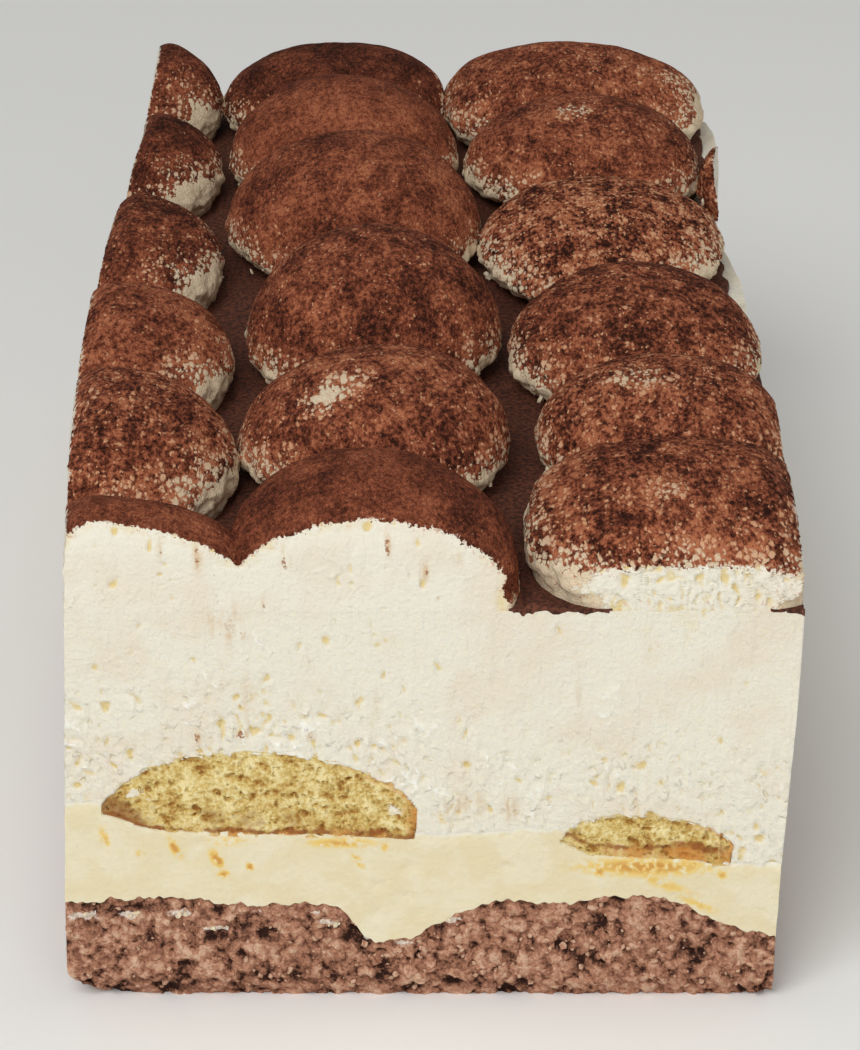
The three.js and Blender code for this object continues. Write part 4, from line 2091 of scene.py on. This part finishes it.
@dataclass
class Scatter:
    """Many small bits of one kind, joined in one mesh.

    Attributes:
        name: The piece's name.
        slot: The record's material slot; not used.
        smallest: Size of the smallest bit.
        largest: Size of the largest bit.
        seed: Start of the random draw.
        detail: How finely each bit is divided.
    """

    name: str
    slot: str
    smallest: float
    largest: float
    seed: int
    detail: int = 1

    MARGIN = 0.02
    UNEVEN = 0.25

    def build(self, places: np.ndarray, squash: Sequence[float] = (1, 1, 0.7)) -> Piece:
        """Puts a bit at every place, each with its own size and turn.

        Args:
            places: Where the bits lie, one row each.
            squash: A bit's own proportions.

        Returns:
            The joined mesh.
        """
        deselect()
        bpy.ops.mesh.primitive_ico_sphere_add(subdivisions=self.detail, radius=0.5)
        seed_piece = bpy.context.object
        with editing(seed_piece):
            bpy.ops.mesh.select_all(action="SELECT")
            bpy.ops.transform.resize(value=tuple(squash))
        draw = np.random.default_rng(self.seed)
        bit = read_points(seed_piece)
        triangles = np.array([tuple(face.vertices) for face in seed_piece.data.polygons])
        count = len(places)
        sizes = self.smallest + (self.largest - self.smallest) * draw.random(count) ** 2
        frames, _ = np.linalg.qr(draw.normal(size=(count, 3, 3)))
        bits = np.einsum("nij,vj->nvi", frames, bit) * sizes[:, None, None]
        bits *= 1 + self.UNEVEN * draw.normal(size=(count, len(bit), 1)).clip(-1, 1)
        points = (bits + places[:, None, :]).reshape(-1, 3)
        lowest, highest = np.array(CAD_BOX) / MM
        points = np.clip(points, lowest + self.MARGIN, highest - self.MARGIN)
        faces = (triangles[None] + len(bit) * np.arange(count)[:, None, None]).reshape(-1, 3)
        mesh = bpy.data.meshes.new(self.name)
        mesh.from_pydata((points * MM).tolist(), [], faces.tolist())
        bpy.data.objects.remove(seed_piece)
        piece = bpy.data.objects.new(self.name, mesh)
        bpy.context.collection.objects.link(piece)
        with editing(piece):
            face_outwards()
        smooth(piece)
        return piece


@dataclass
class Crumbs:
    """The bits that the knife and the piping left on the portion.

    Attributes:
        sponge_bits: Crumbs of sponge on the four cuts.
        curls_each: Curls of cream round the foot of each dome.
        middle_reach: How far out the sponge's height is read across the bar.
        end_reach: How far out it is read along the bar.
        curl_reach: How far out the curls hang, against their dome's reach.
        curl_rise: How high they hang over the cream layer.
        clear_of_cut: How far behind a cut they end.
        seed: Start of the random draw.
    """

    sponge_bits: int = 2600
    curls_each: int = 20
    middle_reach: int = 36
    end_reach: int = 81
    curl_reach: tuple[float, float] = (0.88, 0.95)
    curl_rise: tuple[float, float] = (1.2, 3.4)
    clear_of_cut: float = 1.6
    seed: int = 11

    def on_sponge(self) -> np.ndarray:
        """Draws where sponge crumbs stick to the cuts, one row each.

        Returns:
            Their places.
        """
        draw = np.random.default_rng(self.seed)
        # Two thirds of the crumbs lie on the long cuts and one third on the short ones.
        edge = draw.uniform(0, 4, self.sponge_bits)
        slide = draw.uniform(-0.97, 0.97, self.sponge_bits)
        long_cut = edge < 8 / 3
        side = np.where(edge % (4 / 3) < 2 / 3, -1.0, 1.0)
        across = np.where(long_cut, side, slide)
        along = np.where(long_cut, slide, side)
        x, y = self.middle_reach * across, self.end_reach * along
        low = SURFACES.base(x, y) + 1.0
        high = SURFACES.sponge_top(x, y) - 0.5
        z = low + (high - low) * draw.random(self.sponge_bits)
        depth = draw.uniform(0.6, 1.05, self.sponge_bits)
        return CUTS.place(across, along, z, depth)

    def at_feet(self, rows: dict[Row, Sequence[Dome]]) -> np.ndarray:
        """Draws where curls of cream hang on the domes' lips, one row each.

        Args:
            rows: The domes of each row, from the front.

        Returns:
            Their places.
        """
        draw = np.random.default_rng(self.seed + 1)
        places = []
        for dome in every_dome(rows):
            turn = draw.uniform(0, 2 * np.pi, self.curls_each)
            reach = draw.uniform(*self.curl_reach, self.curls_each)
            rise = draw.uniform(*self.curl_rise, self.curls_each)
            x = dome.x + dome.across * reach * np.cos(turn)
            y = dome.y + dome.along * reach * np.sin(turn)
            places.append(np.column_stack((x, y, CREAM_TOP + rise)))
        spots = np.concatenate(places)
        inside = CUTS.past(spots, np.full(len(spots), self.clear_of_cut)) < 0
        return spots[inside]

    def build(self, sponge: Material, cream: Material) -> None:
        """Builds and dresses the bits.

        Args:
            sponge: The crumbs' material.
            cream: The curls' and flecks' material.
        """
        crumbs = Scatter("sponge_crumbs", "chocolate_sponge", 0.35, 1.0, self.seed + 2)
        hand_over(crumbs.build(self.on_sponge()), sponge)
        curls = Scatter("cream_curls", "cream", 0.5, 1.6, self.seed + 3, detail=2)
        hand_over(curls.build(self.at_feet(DOMES), (1.3, 0.8, 0.6)), cream)
        draw = np.random.default_rng(self.seed + 4)
        spots = np.concatenate([cluster.places(draw) for cluster in CREAM_FLECKS])
        flecks = Scatter("cream_flecks", "cream", 0.25, 0.8, self.seed + 5, detail=2)
        hand_over(flecks.build(spots, (1.3, 0.8, 0.6)), cream)
        log.info("crumbs, curls and flecks are in place")


# ---- Stage -----------------------------------------------------------------


@dataclass(frozen=True)
class Lamp:
    """A square area light that faces the bar.

    Attributes:
        name: Its name.
        place: Where it hangs, in metres.
        size: Its side, in metres.
        power: Its power, in watts.
    """

    name: str
    place: tuple[float, float, float]
    size: float
    power: float

    AIM = (0, 0, 0.03)

    def build(self) -> None:
        """Adds the light."""
        deselect()
        bpy.ops.object.light_add(type="AREA", location=self.place)
        lamp = bpy.context.object
        lamp.name = self.name
        lamp.data.size = self.size
        lamp.data.energy = self.power
        aim = Vector(self.AIM) - Vector(self.place)
        lamp.rotation_euler = aim.to_track_quat("-Z", "Y").to_euler()


@dataclass
class Stage:
    """The pale floor, the soft lights and the camera.

    Attributes:
        camera: Where the camera stands.
        pitch: How far it looks down, in degrees.
        lens: Its focal length.
        nearest: How near it still sees, in metres.
        floor_size: Size of the floor, in metres.
        floor: The floor's colour.
        lamps: The lights.
        sky: The colour all round.
        glow: The brightness all round.
    """

    camera: tuple[float, float, float] = (1.387, -468.249, 234.122)
    pitch: float = 24.6
    lens: float = 142.3
    nearest: float = 0.01
    floor_size: float = 6.0
    floor: Colour = srgb(248, 248, 246)
    lamps: tuple[Lamp, ...] = (
        Lamp("key light", (-0.35, -0.75, 0.9), 0.7, 7.8),
        Lamp("front fill", (0.35, -1.2, 0.35), 0.9, 3.3),
    )
    sky: Colour = (1, 0.99, 0.97)
    glow: float = 0.34

    def build(self) -> None:
        """Sets up the floor, the lights and the camera."""
        deselect()
        bpy.ops.mesh.primitive_plane_add(size=self.floor_size)
        floor = bpy.context.object
        floor.name = "floor"
        material = bpy.data.materials.new("pale floor")
        material.use_nodes = True
        shader = material.node_tree.nodes["Principled BSDF"]
        shader.inputs["Base Color"].default_value = (*self.floor, 1)
        shader.inputs["Roughness"].default_value = 0.9
        floor.data.materials.append(material)
        for lamp in self.lamps:
            lamp.build()
        world = bpy.data.worlds.new("studio")
        bpy.context.scene.world = world
        world.use_nodes = True
        background = world.node_tree.nodes["Background"]
        background.inputs["Color"].default_value = (*self.sky, 1)
        background.inputs["Strength"].default_value = self.glow
        deselect()
        turn = (math.radians(90 - self.pitch), 0, 0)
        place = tuple(value * MM for value in self.camera)
        bpy.ops.object.camera_add(location=place, rotation=turn)
        camera = bpy.context.object
        camera.data.lens = self.lens
        camera.data.clip_start = self.nearest
        bpy.context.scene.camera = camera
        bpy.context.scene.view_settings.view_transform = "Standard"
        log.info("stage is set")


# ---- The portion -----------------------------------------------------------


BISCUITS = (
    Biscuit(
        "ladyfinger_left", x=-16.7, half_width=17, base=20.2, height=10.2, tip=2.8, tilt=-0.03,
        line=0.7, coffee=0.95,
        smears=(
            Stain(x=-30.2, z=25.3, wide=1.3, high=0.8, strength=0.8, lean=0.6),
            Stain(x=-28.4, z=24.6, wide=0.7, high=0.4, strength=0.7),
            Stain(x=-2.4, z=23.4, wide=0.9, high=1.1, strength=0.85, lean=-0.4),
            Stain(x=-15.8, z=23.6, wide=1.6, high=0.6, strength=0.4),
        ),
    ),
    Biscuit(
        "ladyfinger_right", x=24.4, half_width=9.3, base=17.2, height=5.6, tip=2.2, tilt=-0.06,
        line=2.0, coffee=0.3,
        smears=(
            Stain(x=20.0, z=20.4, wide=0.8, high=0.4, strength=0.6),
            Stain(x=32.0, z=18.0, wide=0.7, high=0.5, strength=0.5),
        ),
    ),
)

CREAM_STAINS = stain_rows(
    (-26.3, 53.5, 0.4, 1.4, 1.2),
    (-22.6, 53.0, 0.45, 1.5, 1.3),
    (-20.9, 51.4, 0.35, 1.2, 0.9),
    (-13.6, 52.5, 0.5, 1.5, 1.2),
    (-3.0, 54.2, 0.4, 1.6, 1.3),
    (0.9, 51.5, 0.45, 1.3, 1.2),
    (4.2, 52.8, 0.5, 0.8, 1.0),
    (-20.7, 47.6, 0.5, 5.0, 0.8),
    (-15.9, 47.2, 0.4, 2.0, 1.0),
    (-19.0, 44.1, 1.9, 0.55, 1.3),
    (-19.8, 45.4, 2.6, 2.4, 0.75),
    (-11.2, 40.6, 0.4, 1.8, 0.8),
    (-17.8, 36.5, 0.8, 3.0, 0.4),
    (-23.1, 32.2, 0.35, 0.8, 1.7),
    (-18.4, 32.4, 0.8, 0.6, 1.5),
    (-11.0, 32.3, 0.5, 0.45, 1.3),
    (-4.4, 34.8, 0.6, 3.0, 0.5),
    (9.3, 23.6, 1.5, 1.8, 0.7),
    (5.0, 24.0, 2.8, 1.3, 0.7),
    (16.5, 37.0, 1.0, 2.6, 0.35),
)

CUSTARD_STAINS = stain_rows(
    (-33.2, 20.0, 0.5, 1.4, 0.8, -0.2),
    (-29.5, 18.2, 0.6, 0.5, 0.6),
    (-25.8, 18.9, 0.55, 1.2, 1.1, -0.4),
    (-21.3, 17.5, 0.65, 1.1, 1.3, -0.4),
    (-20.6, 15.7, 0.7, 0.5, 1.1),
    (-17.8, 16.6, 0.4, 0.45, 1.3),
    (-6.3, 17.3, 0.5, 0.8, 1.0, -0.6),
    (-3.3, 18.9, 0.4, 0.4, 1.2),
    (-20.0, 19.7, 2.8, 0.7, 0.5),
    (-8.0, 19.5, 4.0, 0.6, 0.9),
    (24.5, 16.6, 7.0, 1.1, 1.1),
    (26.3, 14.6, 1.8, 1.8, 0.65, -1.8),
    (30.2, 11.9, 1.2, 1.2, 0.65, -1.8),
    (19.5, 16.0, 0.7, 0.6, 1.0),
    (32.6, 15.6, 0.6, 0.5, 0.9),
)

SPONGE_STAINS = stain_rows(
    (-35.8, 10.5, 1.9, 0.55, 1.1),
    (-30.8, 10.5, 1.2, 0.5, 1.0),
    (-25.2, 10.8, 1.6, 0.5, 1.1),
    (-21.6, 8.9, 1.6, 0.4, 1.0),
    (-17.0, 11.0, 1.4, 0.4, 0.8),
    (-9.4, 9.6, 1.5, 0.45, 1.0),
    (-10.8, 10.9, 1.1, 0.5, 0.9),
    (-5.0, 8.2, 0.6, 0.9, 1.2, 0.5),
    (3.8, 10.0, 1.0, 0.5, 1.0),
    (-1.5, 7.2, 2.4, 0.35, 0.8),
)

CREAM_FLECKS = (
    Cluster(x=-35.8, z=10.5, wide=1.3, high=0.35, count=6),
    Cluster(x=-30.8, z=10.5, wide=0.8, high=0.35, count=4),
    Cluster(x=-25.2, z=10.8, wide=1.1, high=0.35, count=5),
    Cluster(x=-21.6, z=8.9, wide=1.2, high=0.3, count=5),
    Cluster(x=-9.4, z=9.6, wide=1.0, high=0.3, count=4),
    Cluster(x=3.8, z=10.1, wide=0.7, high=0.3, count=4),
)

DOMES = {
    Row.LEFT: (
        Dome(-35, -79, 17.4, 15, 9.8, 0, 0.85, foot=1.03, lip=1.0, speckle=0.15, wet=0.1, joint=-18.9),
        Dome(
            -35, -50.5, 15.2, 17.5, 10.4, 4, foot=0.92, speckle=0.55, wet=0.1,
            bald=(Bald(-34.9, -47.3, 5, 0.3), Bald(-23.0, -58.0, 4.0, 0.3)),
        ),
        Dome(
            -36.5, -22.5, 15.2, 17.5, 10, 4, foot=0.92, speckle=0.4,
            bald=(Bald(-24.5, -30.5, 4.0, 0.35),),
        ),
        Dome(
            -38.5, 10, 15, 18, 9, 3, foot=0.92, speckle=0.35, wet=0.3,
            bald=(Bald(-26.5, 2.0, 4.5, 0.4),),
        ),
        Dome(
            -41, 42, 15, 17.5, 10.2, 3, foot=0.92, speckle=0.2, wet=0.5,
            bald=(Bald(-29.0, 34.0, 4.5, 0.4),),
        ),
        Dome(
            -41.5, 70, 15, 15.5, 11.9, 2, foot=0.92, speckle=0.25, wet=0.25,
            bald=(Bald(-30.0, 62.0, 5.0, 0.5),),
        ),
    ),
    Row.MIDDLE: (
        Dome(-5.1, -74.5, 15.5, 16.5, 11.6, 5, 0.85, foot=1.03, lip=1.0, speckle=0.1, wet=0.2, joint=-18.9),
        Dome(
            -4.5, -45.5, 15.5, 16.5, 12.1, 3, speckle=0.45, wet=0.1,
            bald=(Bald(-9.6, -49.0, 2.9, 0.6), Bald(-7.2, -46.2, 2.8, 0.45), Bald(-10.8, -50.5, 2.4, 0.45)),
        ),
        Dome(-5.5, -14, 14.8, 18.5, 15, 3, speckle=0.34, wet=0.2, lip=5.0),
        Dome(-8, 22, 16, 18.5, 14, 3, speckle=0.22, wet=0.1),
        Dome(-10, 49.5, 15.5, 16.5, 12.4, 3, speckle=0.12, wet=0.1),
        # Its wet value darkens it as painted shade: it lies in shadow behind its neighbour.
        Dome(-11.5, 70, 15.5, 15, 10.6, 2, speckle=0.12, wet=0.45),
    ),
    Row.RIGHT: (
        Dome(
            28.5, -66.3, 16.8, 16.5, 9.6, 3, 0.9, foot=0.95, corners=2.9,
            speckle=0.55, wet=0.1, bald=(Bald(26.4, -70.2, 2.4, 0.5),),
        ),
        Dome(
            28, -45.5, 15, 16.5, 10.8, 3, speckle=0.6, wet=0.05,
            bald=(Bald(22.4, -43.5, 3.4, 0.4), Bald(26.3, -43.7, 3.8, 0.4)),
        ),
        Dome(25.5, -18, 15.3, 18, 10.4, 4, speckle=0.5, wet=0.2),
        Dome(
            22.5, 15.5, 15.3, 19, 8.8, 4, speckle=0.85, wet=0.05,
            bald=(Bald(22.4, 12.9, 6.0, 0.15),),
        ),
        Dome(
            21.5, 45.5, 15.3, 17, 10.8, 3, speckle=0.36, wet=0.1,
            bald=(Bald(20.0, 46.9, 2.6, 0.75),),
        ),
        Dome(
            20.5, 69.5, 18, 15, 10.7, 2, foot=0.85, corners=2.6, speckle=0.4,
            bald=(Bald(33.9, 68.6, 5.0, 0.3), Bald(36.4, 65.3, 5.0, 0.25), Bald(24.0, 69.0, 4.0, 0.2)),
        ),
    ),
    Row.EDGE: (Dome(42.5, 38.5, 6.5, 14.5, 9.5, 0, foot=0.9, speckle=0.7, lip=1.6),),
}


def build_layers() -> None:
    """Builds the sponge, the custard, the biscuits and the cream."""
    sponge = SpongeLayer(
        "chocolate_sponge", "chocolate_sponge", SURFACES.base, SURFACES.sponge_top,
        across=380, along=230, rows=42, stains=SPONGE_STAINS,
    )
    custard = CustardLayer(
        "custard_layer", "custard", SURFACES.sponge_top, SURFACES.custard_top,
        across=300, along=200, rows=34, stains=CUSTARD_STAINS, biscuits=BISCUITS,
    )
    cream = CreamLayer(
        "cream_layer", "cream", SURFACES.custard_top, SURFACES.cream_top,
        across=340, along=170, rows=84, stains=CREAM_STAINS, biscuits=BISCUITS,
    )
    sponge.dress(sponge.build(), SpongeFinish().material())
    custard.dress(custard.build(), CustardFinish().material())
    cream.dress(cream.build(), CreamFinish().material())
    crumb = BiscuitFinish().material()
    for biscuit in BISCUITS:
        biscuit.dress(biscuit.build(), crumb)


def build_topping() -> None:
    """Builds the domes and the cocoa between them."""
    floor = PlainFinish("cocoa floor", srgb(104, 58, 40), srgb(56, 29, 20), 0.5)
    Topping(DOMES).build(CocoaFinish().material(), floor.material())


def build_crumbs() -> None:
    """Builds the loose bits."""
    cream = PlainFinish("loose cream", srgb(234, 224, 200), srgb(220, 200, 166), 0.8)
    Crumbs().build(SpongeFinish().material("loose sponge"), cream.material())


def main() -> None:
    """Builds the portion and its stage."""
    logging.basicConfig(level=logging.INFO, format="%(name)s: %(message)s")
    Stage().build()
    build_layers()
    build_topping()
    build_crumbs()


if __name__ == "__main__":
    main()
